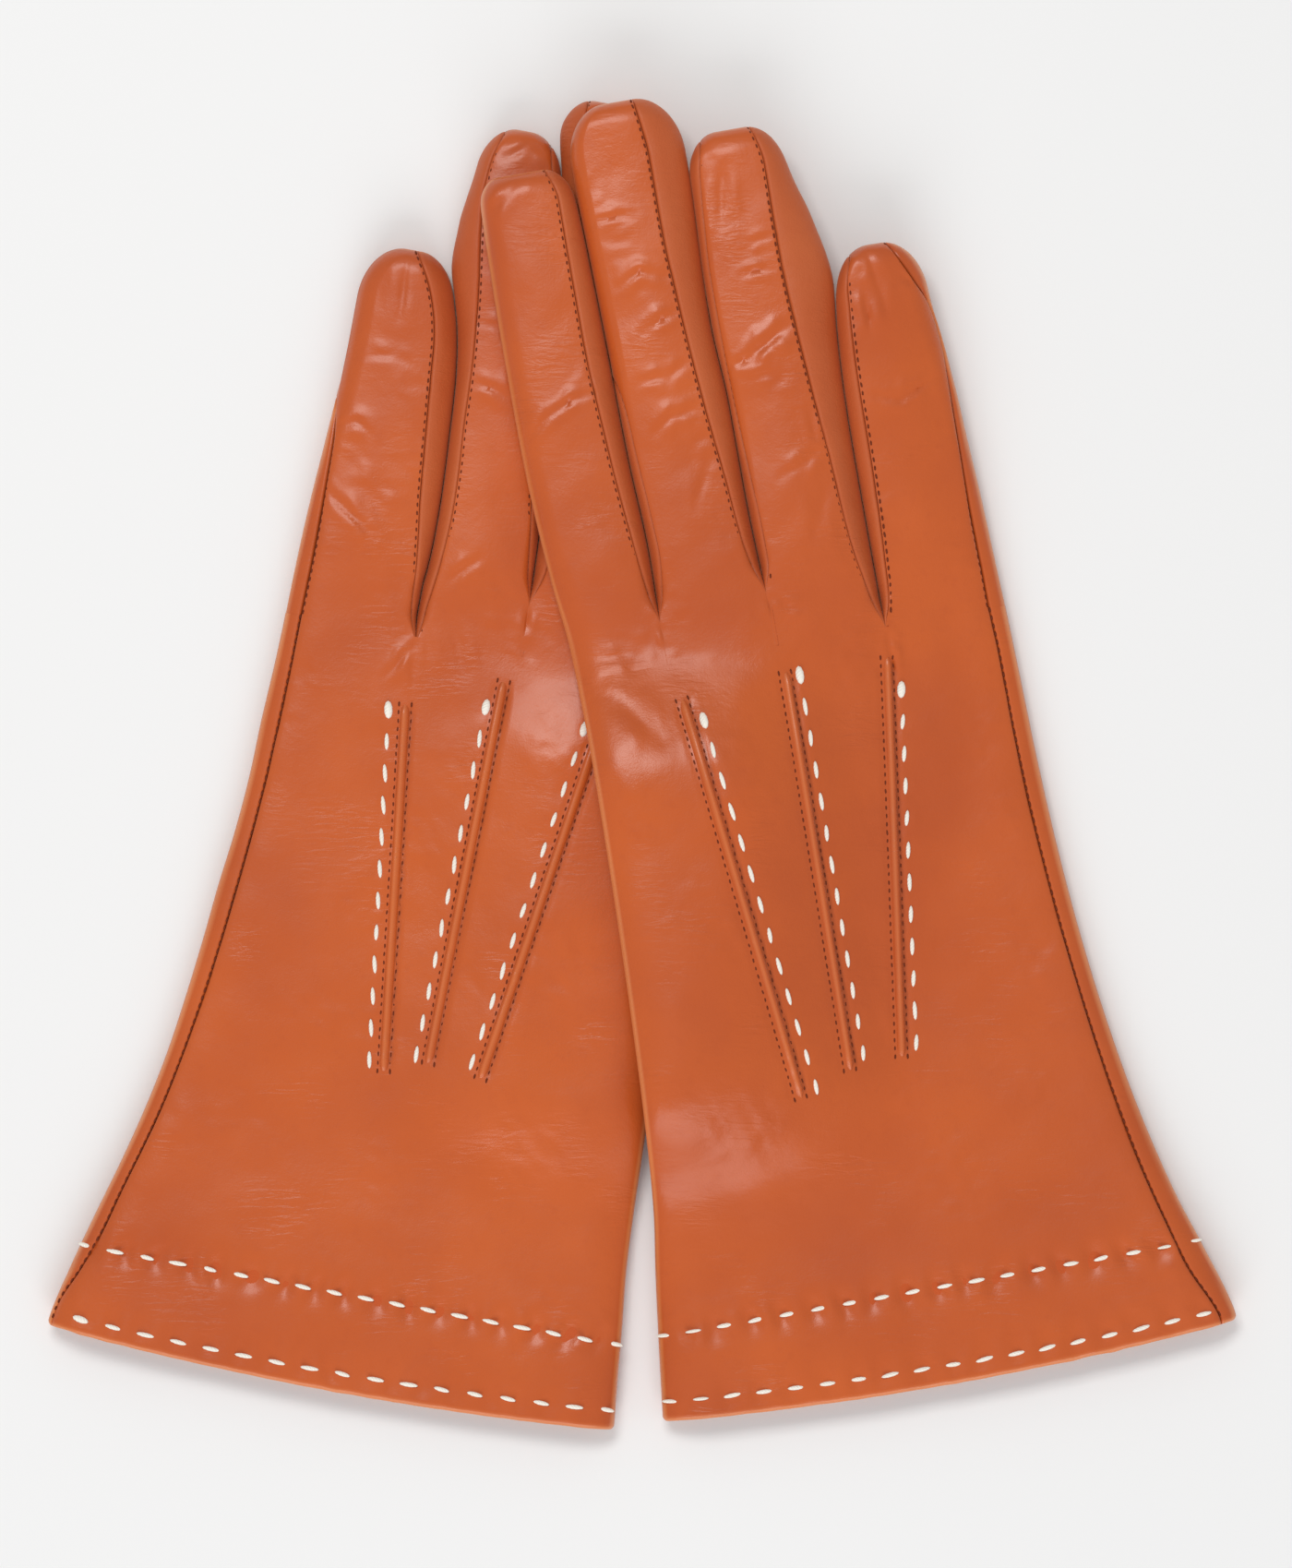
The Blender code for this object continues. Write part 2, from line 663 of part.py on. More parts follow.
def build_glove(glove, hinged, root_pivot, materials):
    leather, gusset, facing, thread = materials
    build_hand(glove, leather, root_pivot)
    build_fourchette_root(glove, gusset, root_pivot)
    build_hem_facing(glove, facing, root_pivot)
    build_thumb(glove, leather, root_pivot)
    for name in FINGERS:
        pivot = knuckle_pivot(glove, name, root_pivot) if name in hinged else root_pivot
        build_finger(glove, name, leather, gusset, pivot)
    build_points(glove, leather, thread, root_pivot)
    build_hem_rows(glove, thread, root_pivot)


def centre_on_origin():
    """Moves the whole pair so that the middle of its box stands over the origin."""
    bpy.context.view_layer.update()
    corners = []
    for obj in bpy.data.objects:
        if obj.type == "MESH":
            points = np.empty(len(obj.data.vertices) * 3, np.float32)
            obj.data.vertices.foreach_get("co", points)
            corners.append(points.reshape(-1, 3) + np.array(obj.matrix_world.translation))
    corners = np.concatenate(corners)
    middle = (corners.min(axis=0) + corners.max(axis=0)) / 2
    for obj in bpy.data.objects:
        if obj.parent is None:
            obj.location.x -= middle[0]
            obj.location.y -= middle[1]


def main():
    clear_scene()
    materials = (
        make_material("glazed_leather", (0.545, 0.125, 0.040), 0.42),
        make_material("fourchette_leather", (0.578, 0.152, 0.059), 0.48),
        make_material("facing_leather", (0.500, 0.125, 0.045), 0.6),
        make_material("white_thread", (0.90, 0.80, 0.68), 0.7),
    )
    left = Glove("left", LEFT_PLACE, LEFT_TURN, -1, LEFT_SPLAY, LEFT_BULGE)
    right = Glove("right", RIGHT_PLACE, RIGHT_TURN, 1, RIGHT_SPLAY, RIGHT_BULGE, under=left)
    table = add_pivot("left_glove_origin", Vector((0, 0, 0)))
    lifted = add_pivot("right_glove_lift", Vector((*RIGHT_PLACE, 0)), table)
    build_glove(left, {"little"}, table, materials)
    build_glove(right, set(FINGERS), lifted, materials)
    centre_on_origin()


main()
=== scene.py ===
"""A pair of leather dress gloves: leather, seams, hand-sewn threads, table, light and camera.

Lengths are in millimetres until a mesh is made. Pattern coordinates are those of one glove laid
flat: across grows from the index finger to the little finger, along from the cuff to the tips.
"""

import json
import math

import bpy
import numpy as np
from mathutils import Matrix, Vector

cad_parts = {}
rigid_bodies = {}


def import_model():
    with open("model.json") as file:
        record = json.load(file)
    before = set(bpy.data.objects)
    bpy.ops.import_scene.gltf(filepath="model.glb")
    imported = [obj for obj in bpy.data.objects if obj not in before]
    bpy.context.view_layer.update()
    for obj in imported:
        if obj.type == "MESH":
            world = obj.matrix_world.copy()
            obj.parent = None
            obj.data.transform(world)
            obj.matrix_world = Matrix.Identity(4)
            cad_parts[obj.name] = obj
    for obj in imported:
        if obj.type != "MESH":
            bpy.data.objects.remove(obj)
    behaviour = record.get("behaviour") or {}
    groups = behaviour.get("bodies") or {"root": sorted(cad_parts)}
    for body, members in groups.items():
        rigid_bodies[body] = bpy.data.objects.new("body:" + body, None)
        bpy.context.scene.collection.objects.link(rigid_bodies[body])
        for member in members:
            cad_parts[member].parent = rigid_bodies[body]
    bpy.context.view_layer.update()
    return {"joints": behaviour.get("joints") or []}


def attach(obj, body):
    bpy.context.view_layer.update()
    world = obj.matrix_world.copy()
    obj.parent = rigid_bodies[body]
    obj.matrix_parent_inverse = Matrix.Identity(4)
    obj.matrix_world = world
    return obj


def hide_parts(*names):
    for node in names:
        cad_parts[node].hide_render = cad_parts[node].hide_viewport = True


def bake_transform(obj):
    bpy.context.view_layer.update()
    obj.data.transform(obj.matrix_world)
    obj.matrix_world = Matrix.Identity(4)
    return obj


bl_info = {
    "name": "Leather dress gloves",
    "version": (1, 0, 0),
    "blender": (4, 5, 0),
    "location": "3D View > Sidebar > Gloves",
    "description": "Dresses a packed pair of gloves in leather, seams and hand-sewn thread",
    "category": "Object",
}

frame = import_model()
JOINTS = {joint["name"]: joint for joint in frame["joints"]}
MM = 0.001

# ---------------------------------------------------------------- the pattern

SIDES = ("low", "high")  # the index side and the little-finger side
INWARD = {"low": 1, "high": -1}
HALF_HAND = 45.4
HAND_HEIGHT = 7.0
CUFF_HEIGHT = 8.8
CUFF_ALONG = -134.5
CUFF_RISE_START = -80.0
CUFF_BOW = 2.6
HEM_DEPTH = 20.0
STACK_CLEARANCE = 0.8
FINGER_BASE = 19.8  # where the hand's back and palm end and the finger tongues start
HAND_ROUNDING = 9.0
SIDE_GAP = 0.05  # on each side of the line between two fingers
TIP_STRETCH = 1.35  # how much longer than wide a fingertip's corners are
TIP_SHARE = 0.999  # keeps a rounded tip from closing to nothing
GAP_DEPTH = 1.35  # power that makes the gap between two fingers steeper than a round side
WEB_ANGLE = -52.0  # round a finger's side, where its fourchette meets its palm
SEAM_ROLL = tuple(0.75 * (1 - i / 3) ** 1.7 for i in range(3))  # how far the leather turns in at a seam
SEAM_PAINTED_SHADE = (0.8, 0.4, 0.08)  # and how dark the painted shade is in the groove there

THUMB_HEIGHT = 3.4
THUMB_WIDTH = 21.0
THUMB_TIP_WIDTH = 18.0
THUMB_MARGIN = 2.5
THUMB_MOUTH = -50.0
THUMB_HEEL = -68.0
THUMB_LENGTH = 58.0

# Where each finger bends, and its middle there
BENDS = {"index": (-35.5, 28.7), "middle": (-14.3, 31.1), "ring": (8.6, 31.1), "little": (32.8, 19.8)}
BEND_LENGTH = 16.0
GUSSET_PAINTED_SHADE = {  # how much painted shade the outer fourchettes get, as they lie recessed between the fingers
    "right": {"index": 0.50, "middle": 0.30, "ring": 0.26},
    "left": {"index": 0.45, "middle": 0.45, "ring": 0.50},
}
# Painted shade on the inner fourchettes
INNER_PAINTED_SHADE = 0.12
POINT_NAMES = {"right": ("index", "middle", "ring"), "left": ("ring", "middle", "index")}

# Outlines as (along, across): the fold or gap on the index side, its seam, then the other side's
RIGHT_FINGERS = {
    "index": {
        "tip": 125.2, "corners": (4.0, 4.5), "crotches": (None, 28.7),
        "low": ((19.8, -44.6), (28.7, -45.0), (39, -46.1), (53, -47.1), (66, -47.6), (92, -47.7),
                (105, -47.5), (117, -47.2), (125.2, -46.6)),
        "low_seam": None,
        "high_seam": ((28.7, -25.65), (40, -27.5), (56, -29.2), (71, -30.2), (89, -31.0), (106, -31.0),
                      (118, -30.9), (125.2, -32.6)),
        "high": ((28.7, -25.6), (43, -25.3), (63, -26.1), (84, -26.4), (104, -26.8), (118, -27.4),
                 (125.2, -28.6)),
    },
    "middle": {
        "tip": 136.3, "corners": (8.5, 9.0), "crotches": (28.7, 31.1),
        "low": ((28.7, -25.6), (43, -25.3), (63, -26.1), (84, -26.4), (104, -26.8), (121, -27.2),
                (136.3, -27.2)),
        "low_seam": ((28.7, -25.55), (35, -24.3), (43, -23.3), (49, -23.6), (55, -23.9), (62.5, -24.5),
                     (74, -25.3), (82, -26.6), (90, -27.3), (104, -28.0), (136.3, -28.6)),
        "high_seam": ((31.1, -3.05), (42, -5.8), (56, -7.2), (73, -8.9), (93, -10.3), (109, -11.0),
                      (123, -10.9), (136.3, -12.2)),
        "high": ((31.1, -3.0), (53, -3.6), (70, -3.6), (88, -4.4), (105, -3.8), (121, -3.2), (136.3, -3.2)),
    },
    "ring": {
        "tip": 126.6, "corners": (6.5, 7.0), "crotches": (31.1, 19.8),
        "low": ((31.1, -3.0), (53, -3.6), (70, -3.6), (88, -4.4), (98, -4.3), (113, -3.6), (126.6, -3.2)),
        "low_seam": ((31.1, -2.95), (35, -1.8), (41, -1.5), (47, -1.6), (53, -2.0), (64.4, -2.6),
                     (76, -3.0), (97.5, -3.1), (107, -2.5), (113, -2.0), (126.6, 0.0)),
        "high_seam": ((19.8, 20.15), (28, 18.0), (36, 16.4), (57, 14.8), (75, 13.3), (92, 12.2),
                      (104, 12.0), (118, 12.2), (126.6, 10.6)),
        "high": ((19.8, 20.2), (45, 20.1), (68, 20.3), (82, 21.1), (93, 22.2), (98, 21.7), (103, 20.7),
                 (108, 19.6), (113, 18.1), (118, 17.0), (126.6, 16.5)),
    },
    "little": {
        "tip": 98.2, "corners": (8.0, 8.0), "crotches": (19.8, None),
        "low": ((19.8, 20.2), (45, 20.1), (68, 20.3), (82, 21.1), (90.6, 22.1), (98.2, 22.2)),
        "low_seam": ((19.8, 20.25), (23, 21.4), (35, 22.6), (52, 23.2), (73, 23.5), (85, 24.2),
                     (92.5, 25.0), (98.2, 26.5)),
        "high_seam": ((19.8, 42.3), (27, 42.2), (43, 41.9), (62, 42.2), (73, 42.3), (78, 41.9),
                      (83, 41.2), (86, 40.3), (89, 38.6), (93.4, 36.4), (98.2, 34.2)),
        "high": ((19.8, 45.8), (31, 45.3), (44, 44.7), (54, 44.1), (66, 43.4), (78, 42.3), (84, 41.5),
                 (98.2, 41.0)),
    },
}
LEFT_FINGERS = {
    "index": {
        "tip": 124.5, "corners": (4.5, 4.5), "crotches": (None, 28.7),
        "low": ((19.8, -44.9), (28.7, -45.0), (60, -43.8), (124.5, -38.5)),
        "low_seam": None,
        "high_seam": ((28.7, -25.65), (45, -28.3), (80, -27.6), (124.5, -24.5)),
        "high": ((28.7, -25.6), (60, -24.0), (124.5, -20.0)),
    },
    "middle": {
        "tip": 136.2, "corners": (8.0, 6.0), "crotches": (28.7, 30.6),
        "low": ((28.7, -25.6), (60, -22.6), (100, -18.4), (136.2, -14.0)),
        "low_seam": ((28.7, -25.55), (60, -21.8), (100, -17.8), (136.2, -13.0)),
        "high_seam": ((30.6, -4.35), (40, -6.5), (80, -4.5), (120, 1.5), (136.2, 3.0)),
        "high": ((30.6, -4.3), (52, -3.2), (80, -0.2), (100, 2.4), (120, 5.6), (128, 7.4), (136.2, 7.5)),
    },
    "ring": {
        "tip": 127.4, "corners": (6.0, 6.5), "crotches": (30.6, 18.4),
        "low": ((30.6, -4.3), (52, -3.2), (80, -0.2), (100, 2.4), (120, 5.6), (127.4, 7.0)),
        "low_seam": ((30.6, -4.25), (37, -3.1), (45, -2.0), (52, -0.8), (80, 2.0), (100, 4.4),
                     (120, 7.4), (127.4, 9.0)),
        "high_seam": ((18.4, 17.25), (22, 17.0), (26, 16.8), (30, 16.1), (35, 15.5), (40, 15.1),
                      (46, 14.8), (57, 15.2), (63, 15.7), (78, 16.4), (90, 17.6), (107, 20.0),
                      (113, 20.6), (120, 20.2), (127.4, 18.6)),
        "high": ((18.4, 17.3), (25, 18.3), (30, 18.3), (35, 17.9), (41, 17.7), (49, 17.8), (62, 18.5),
                 (76, 19.6), (85, 21.2), (90.6, 22.8), (97, 24.6), (106, 24.7), (111, 24.2),
                 (116, 23.5), (127.4, 22.6)),
    },
    "little": {
        "tip": 98.8, "corners": (6.5, 8.5), "crotches": (18.4, None),
        "low": ((18.4, 17.3), (25, 18.3), (30, 18.3), (35, 17.9), (41, 17.7), (49, 17.8), (62, 18.5),
                (76, 19.6), (85, 21.2), (90.6, 22.8), (98.8, 24.5)),
        "low_seam": ((18.4, 17.35), (21.5, 18.5), (25, 19.3), (33, 20.0), (40.5, 20.9), (48, 21.9),
                     (61.4, 23.2), (75, 24.5), (80.5, 25.0), (86, 26.1), (91.6, 28.1), (98.8, 32.0)),
        "high_seam": ((18.4, 42.0), (23, 41.9), (35, 41.7), (52, 41.9), (58, 42.2), (63.6, 42.9),
                      (70, 43.4), (80, 43.6), (98.8, 43.6)),
        "high": ((18.4, 45.3), (32, 45.0), (44, 44.5), (55.6, 43.8), (67, 43.1), (79, 42.8), (98.8, 42.8)),
    },
}
# Sides of the hand as (along, across): the fold, the outer seam and the outer edge
RIGHT_HAND = {
    "fold": ((-135, -54.1), (-121, -52.4), (-104, -50.2), (-92, -48.4), (-74, -46.9), (-45, -45.5),
             (-12, -44.6), (6, -44.4), (19.8, -44.6)),
    "seam": ((-135, 63.9), (-132, 63.4), (-122, 58.9), (-111, 55.8), (-99, 52.9), (-75, 48.7),
             (-50, 45.6), (-23, 43.5), (-6, 42.9), (12, 42.7), (19.8, 42.3)),
    "outer": ((-135, 67.2), (-132, 66.9), (-118, 62.8), (-108, 59.6), (-87, 54.6), (-63, 50.7),
              (-40, 48.3), (-16, 46.9), (7, 46.2), (19.8, 45.8)),
}
LEFT_HAND = {
    "fold": ((-135, -53.0), (-125, -51.9), (-113, -50.7), (-102, -49.5), (-90, -48.8), (-72, -48.1),
             (-45, -46.2), (-12, -45.0), (6, -44.8), (19.8, -44.9)),
    "seam": ((-135, 66.2), (-129, 65.2), (-122, 62.2), (-113, 59.0), (-106, 57.2), (-86, 51.8),
             (-62, 47.5), (-38, 44.7), (-15, 42.9), (9, 42.1), (18.4, 42.0)),
    "outer": ((-135, 66.9), (-132, 66.6), (-123, 64.6), (-111, 61.5), (-98, 57.9), (-86, 55.0),
              (-74, 52.7), (-62, 51.1), (-50, 49.8), (-38, 48.7), (-27, 47.4), (-15, 46.5),
              (-3, 46.2), (9, 45.6), (18.4, 45.3)),
}
# The points as (across, along) at the knuckle end and the cuff end
RIGHT_POINTS = (
    ((-23.9, 12.2), (-14.2, -72.9)),
    ((-2.0, 14.0), (-3.1, -69.2)),
    ((19.4, 13.4), (8.0, -68.5)),
)
LEFT_POINTS = (
    ((17.2, 5.6), (7.7, -70.0)),
    ((-2.0, 14.0), (-1.1, -66.6)),
    ((-23.0, 5.5), (-12.4, -67.6)),
)
# The white thread beside each point, from its knot to its last stitch
RIGHT_POINT_ROWS = (
    ((-20.3, 7.2), (-10.7, -71.3)),
    ((0.9, 13.0), (0.2, -66.3)),
    ((21.2, 6.4), (11.5, -66.2)),
)
LEFT_POINT_ROWS = (
    ((20.4, 3.9), (11.0, -68.2)),
    ((0.6, 8.1), (1.6, -65.3)),
    ((-20.3, 7.4), (-10.1, -64.6)),
)
UPPER_ROW = -116.9
LOWER_ROW = -129.9

# Creases: (points as (across, along), depth, width)
RIGHT_CREASES = (
    (((-25.3, 112.7), (-20.7, 112.9), (-15.8, 112.1)), 0.30, 0.9),
    (((-22.6, 98.0), (-17.1, 100.6), (-11.7, 98.6)), 0.42, 1.1),
    (((-19.0, 87.8), (-14.8, 90.1), (-11.2, 91.0)), 0.40, 1.1),
    (((-21.1, 78.2), (-14.5, 78.5), (-10.7, 80.5)), 0.45, 1.2),
    (((-20.0, 67.2), (-16.0, 70.0), (-10.1, 70.9)), 0.45, 1.2),
    (((5.5, 102.3), (8.2, 102.7), (11.3, 103.3)), 0.34, 0.9),
    (((3.2, 96.1), (6.7, 96.7), (10.5, 96.4)), 0.34, 0.9),
    (((-1.9, 78.4), (2.0, 79.2), (11.5, 84.6)), 0.62, 1.5),
    (((-1.3, 75.0), (3.3, 75.4), (8.6, 74.8)), 0.30, 0.9),
    (((4.1, 53.8), (8.2, 55.3), (12.4, 57.6)), 0.42, 1.3),
    (((12.5, 66.8), (12.6, 60.7)), 0.30, 1.0),
    (((26.7, 67.0), (31.4, 65.4), (39.7, 68.9)), 0.50, 1.2),
    (((35.6, 90.6), (38.2, 88.0)), 0.30, 0.9),
    (((27.9, 89.6), (27.8, 79.4)), 0.35, 1.3),
    (((-46.5, 70.3), (-41.0, 74.5), (-35.5, 76.9), (-30.8, 77.8)), 0.45, 1.0),
    (((-46.0, 117.5), (-39.0, 123.0)), 0.30, 1.6),
    (((-1.9, 29.8), (1.8, 26.9), (3.9, 26.4)), 0.50, 0.8),
    (((-2.9, 29.8), (-2.2, 26.2)), 0.40, 0.8),
    (((20.3, 17.9), (20.6, 14.0), (19.9, 9.8)), 0.45, 0.9),
    (((20.6, 17.9), (22.0, 16.0), (24.0, 15.2)), 0.40, 0.8),
    (((-25.5, 27.8), (-24.6, 23.0)), 0.45, 0.8),
    (((-14.3, 50.7), (-9.4, 60.0)), 0.22, 1.8),
    (((7.5, 37.6), (13.5, 50.6)), 0.25, 2.2),
    (((1.0, 108.0), (3.6, 119.0)), 0.35, 1.8),
    (((-42.0, 18.0), (-36.0, 13.0), (-29.5, 4.5)), 0.30, 2.4),
    (((-41.0, -2.0), (-37.0, -10.9), (-33.0, -12.5)), 0.24, 1.4),
    (((30.0, 96.0), (31.5, 84.0)), 0.30, 1.7),
)
LEFT_CREASES = (
    (((41.0, 59.7), (38.0, 61.6), (34.3, 59.4)), 0.42, 1.1),
    (((41.6, 46.4), (37.2, 43.7), (29.6, 38.5)), 0.48, 1.3),
    (((39.0, 75.0), (33.0, 76.5), (28.0, 74.5)), 0.20, 1.2),
    (((16.3, 86.0), (13.4, 86.4), (10.4, 83.8)), 0.32, 1.0),
    (((15.0, 73.7), (11.1, 73.4), (6.5, 71.6)), 0.40, 1.2),
    (((12.6, 32.7), (9.9, 35.8), (7.5, 38.3)), 0.40, 1.3),
    (((17.5, 121.0), (13.0, 124.0), (8.0, 123.5)), 0.35, 1.3),
    (((17.3, 18.4), (19.6, 15.1), (22.5, 10.4)), 0.50, 0.9),
    (((17.3, 18.4), (17.0, 13.0), (16.3, 9.5)), 0.35, 0.9),
    (((-4.3, 30.4), (-4.6, 25.0)), 0.40, 0.8),
    (((6.4, 14.0), (12.0, 26.0)), 0.28, 2.2),
    (((33.6, 96.0), (33.0, 84.0)), 0.28, 1.7),
)


def size(name):
    """A size from the settings, in millimetres."""
    return getattr(bpy.context.scene.glove_sizes, name) / MM


def smooth(low, high, value):
    """0 below low, 1 above high, and a smooth S between them."""
    share = np.clip((np.asarray(value, float) - low) / (high - low), 0.0, 1.0)
    return share * share * (3 - 2 * share)


def bell(value, width):
    return np.exp(-((value / width) ** 2))


def curve_through(stations):
    """A smooth function through (along, value) stations that never swings past them."""
    at, value = np.array(stations, float).T
    slope = np.diff(value) / np.diff(at)
    tangent = np.concatenate([slope[:1], (slope[1:] + slope[:-1]) / 2, slope[-1:]])
    inner = slope[1:] * slope[:-1] <= 0
    tangent[1:-1][inner] = 0.0

    def read(place):
        place = np.clip(np.asarray(place, float), at[0], at[-1])
        index = np.clip(np.searchsorted(at, place, side="right") - 1, 0, len(at) - 2)
        width = at[index + 1] - at[index]
        share = (place - at[index]) / width
        square, cube = share**2, share**3
        start = (2 * cube - 3 * square + 1) * value[index]
        end = (3 * square - 2 * cube) * value[index + 1]
        lean = (cube - 2 * square + share) * tangent[index] + (cube - square) * tangent[index + 1]
        return start + end + lean * width

    return read


def wave_noise(seed, length, count=14):
    """A smooth random field made of waves about length long, between about -1 and 1."""
    random = np.random.default_rng(seed)
    angle = random.uniform(0, math.pi, count)
    pitch = length * random.uniform(0.6, 1.6, count)
    phase = random.uniform(0, 2 * math.pi, count)

    def read(x, y):
        total = np.zeros(np.broadcast(x, y).shape)
        for a, p, f in zip(angle, pitch, phase):
            total += np.sin(2 * math.pi * (x * math.cos(a) + y * math.sin(a)) / p + f)
        return total / math.sqrt(count) * 0.8

    return read


def distance_to_path(x, y, path):
    """Distance from each point to a path, signed by the side, and the share of the path reached."""
    best = np.full(np.broadcast(x, y).shape, np.inf)
    sign = np.ones_like(best)
    reached = np.zeros_like(best)
    lengths = [math.dist(a, b) for a, b in zip(path, path[1:])]
    total, gone = sum(lengths), 0.0
    for (ax, ay), (bx, by), length in zip(path, path[1:], lengths):
        dx, dy = (bx - ax) / length, (by - ay) / length
        run = np.clip((x - ax) * dx + (y - ay) * dy, 0, length)
        away = np.hypot(x - ax - run * dx, y - ay - run * dy)
        closer = away < best
        best = np.where(closer, away, best)
        sign = np.where(closer, np.where((x - ax) * dy - (y - ay) * dx > 0, 1.0, -1.0), sign)
        reached = np.where(closer, (gone + run) / total, reached)
        gone += length
    return best * sign, reached


# ---------------------------------------------------------------- one glove laid down


def thumb_centre(share):
    return -HALF_HAND + THUMB_MARGIN + THUMB_WIDTH / 2 + 1.5 * share


class Glove:
    """One glove: its outlines, how it lies, and the relief of its leather."""

    def __init__(self, side, joint, finger, mirror, fingers, hand, points, rows, creases, seed, under=None):
        self.side, self.mirror, self.under = side, mirror, under
        self.fingers, self.points, self.rows, self.creases = fingers, points, rows, creases
        self.fold, self.seam, self.outer = (curve_through(hand[line]) for line in ("fold", "seam", "outer"))
        axis = JOINTS[joint]["axis"]
        turn = math.atan2(axis[1], axis[0])
        self.cos, self.sin = math.cos(turn), math.sin(turn)
        across, along = BENDS[finger]
        at = JOINTS[joint]["pos_m"]
        self.place = (
            at[0] / MM - self.cos * mirror * across + self.sin * along,
            at[1] / MM - self.sin * mirror * across - self.cos * along,
        )
        self.broad, self.fine = wave_noise(seed, 46.0), wave_noise(seed + 1, 13.0)
        self.wrinkle = wave_noise(seed + 2, 5.5)

    def to_world(self, across, along):
        x = self.mirror * across
        return (self.place[0] + self.cos * x - self.sin * along,
                self.place[1] + self.sin * x + self.cos * along)

    def to_pattern(self, x, y):
        dx, dy = x - self.place[0], y - self.place[1]
        return self.mirror * (self.cos * dx + self.sin * dy), self.cos * dy - self.sin * dx

    def bump(self, across, along):
        """How far the thumb underneath lifts the hand."""
        thumb_side = thumb_centre(1.0) + THUMB_WIDTH / 2
        tip = THUMB_MOUTH + THUMB_LENGTH
        sideways = 1 - smooth(thumb_side, thumb_side + 30, across)
        from_cuff = smooth(THUMB_HEEL - 24, THUMB_HEEL, along)
        to_tip = 1 - smooth(tip - 12, tip + 20, along)
        return (THUMB_HEIGHT + STACK_CLEARANCE) * sideways * from_cuff * to_tip

    def rest(self, across, along):
        """Height of what this glove lies on: the table, or the glove beneath it."""
        if self.under is None:
            return np.zeros(np.broadcast(across, along).shape)
        under_across, under_along = self.under.to_pattern(*self.to_world(across, along))
        lift = HAND_HEIGHT + STACK_CLEARANCE + self.under.bump(under_across, under_along)
        return lift * smooth(-55, 0, under_across + HALF_HAND + 3) * smooth(-112, -62, along)

    def base(self, across, along):
        return self.rest(across, along) + self.bump(across, along)

    def cuff_bow(self, across, along):
        """How far the cuff's edge bows away from the hand."""
        low, high = self.fold(along), self.outer(along)
        share = (across - (low + high) / 2) / ((high - low) / 2)
        return -CUFF_BOW * (1 - share**2) * (1 - smooth(CUFF_ALONG, CUFF_ALONG + 14, along))

    def beside_points(self, across, along):
        """For each of the three points, the distance from its line and whether it is alongside."""
        for point in self.points:
            away, reached = distance_to_path(across, along, point)
            yield away * -self.mirror, smooth(0.0, 0.02, reached) * (1 - smooth(0.98, 1.0, reached))

    def groove_painted_shadow(self, across, along):
        """How much painted shadow falls in the groove beside each point."""
        painted_shade = np.zeros(np.broadcast(across, along).shape)
        for away, inside in self.beside_points(across, along):
            painted_shade = np.maximum(painted_shade, 0.6 * inside * bell(away - 1.25, 0.38))
        return painted_shade

    def relief(self, across, along):
        """How far the back's leather stands above or below its even surface."""
        height = 0.24 * self.broad(across, along) + 0.11 * self.fine(across, along)
        patch = smooth(0.1, 0.8, self.fine(across * 0.5 + 7, along * 0.5))
        height = height + 0.09 * patch * self.wrinkle(across, along * 1.5)
        share = bpy.context.scene.glove_sizes.crease_depth
        wobble = 0.35 * self.wrinkle(across, along)
        uneven = 0.75 + 0.45 * self.wrinkle(across + 9, along * 0.6)
        for path, depth, width in self.creases:
            away, reached = distance_to_path(across, along, path)
            away = away + wobble * smooth(0, 4, np.abs(away) + 1)
            ends = np.sin(math.pi * np.clip(reached, 0.06, 0.94)) ** 0.7 * uneven
            ridge, valley = bell(np.abs(away) - 1.4 * width, 0.95 * width), bell(away, 0.42 * width)
            height = height + share * depth * ends * (0.75 * ridge - valley)
        for away, inside in self.beside_points(across, along):
            for line, depth, width in ((-1.35, 0.22, 0.45), (1.35, 0.46, 0.6)):
                height = height - inside * depth * bell(away - line, width)
        pitch = size("stitch_pitch")
        for row in self.rows:
            away, reached = distance_to_path(across, along, row)
            pull = 0.5 + 0.5 * np.cos(2 * math.pi * reached * math.dist(*row) / pitch)
            height = height - 0.14 * pull * bell(away, 1.1)
        for row_along, strength in ((UPPER_ROW, 0.85), (LOWER_ROW - 0.9, 0.42)):
            ripple = np.cos(2 * math.pi * (across + 46) / pitch + 0.9 * self.fine(across * 0.7, along))
            height = height - strength * bell(along - row_along, 2.8) * (0.45 + 0.55 * ripple)
        return height


def hand_height(along):
    return CUFF_HEIGHT + (HAND_HEIGHT - CUFF_HEIGHT) * smooth(CUFF_ALONG, CUFF_RISE_START, along)


# ---------------------------------------------------------------- cross-sections


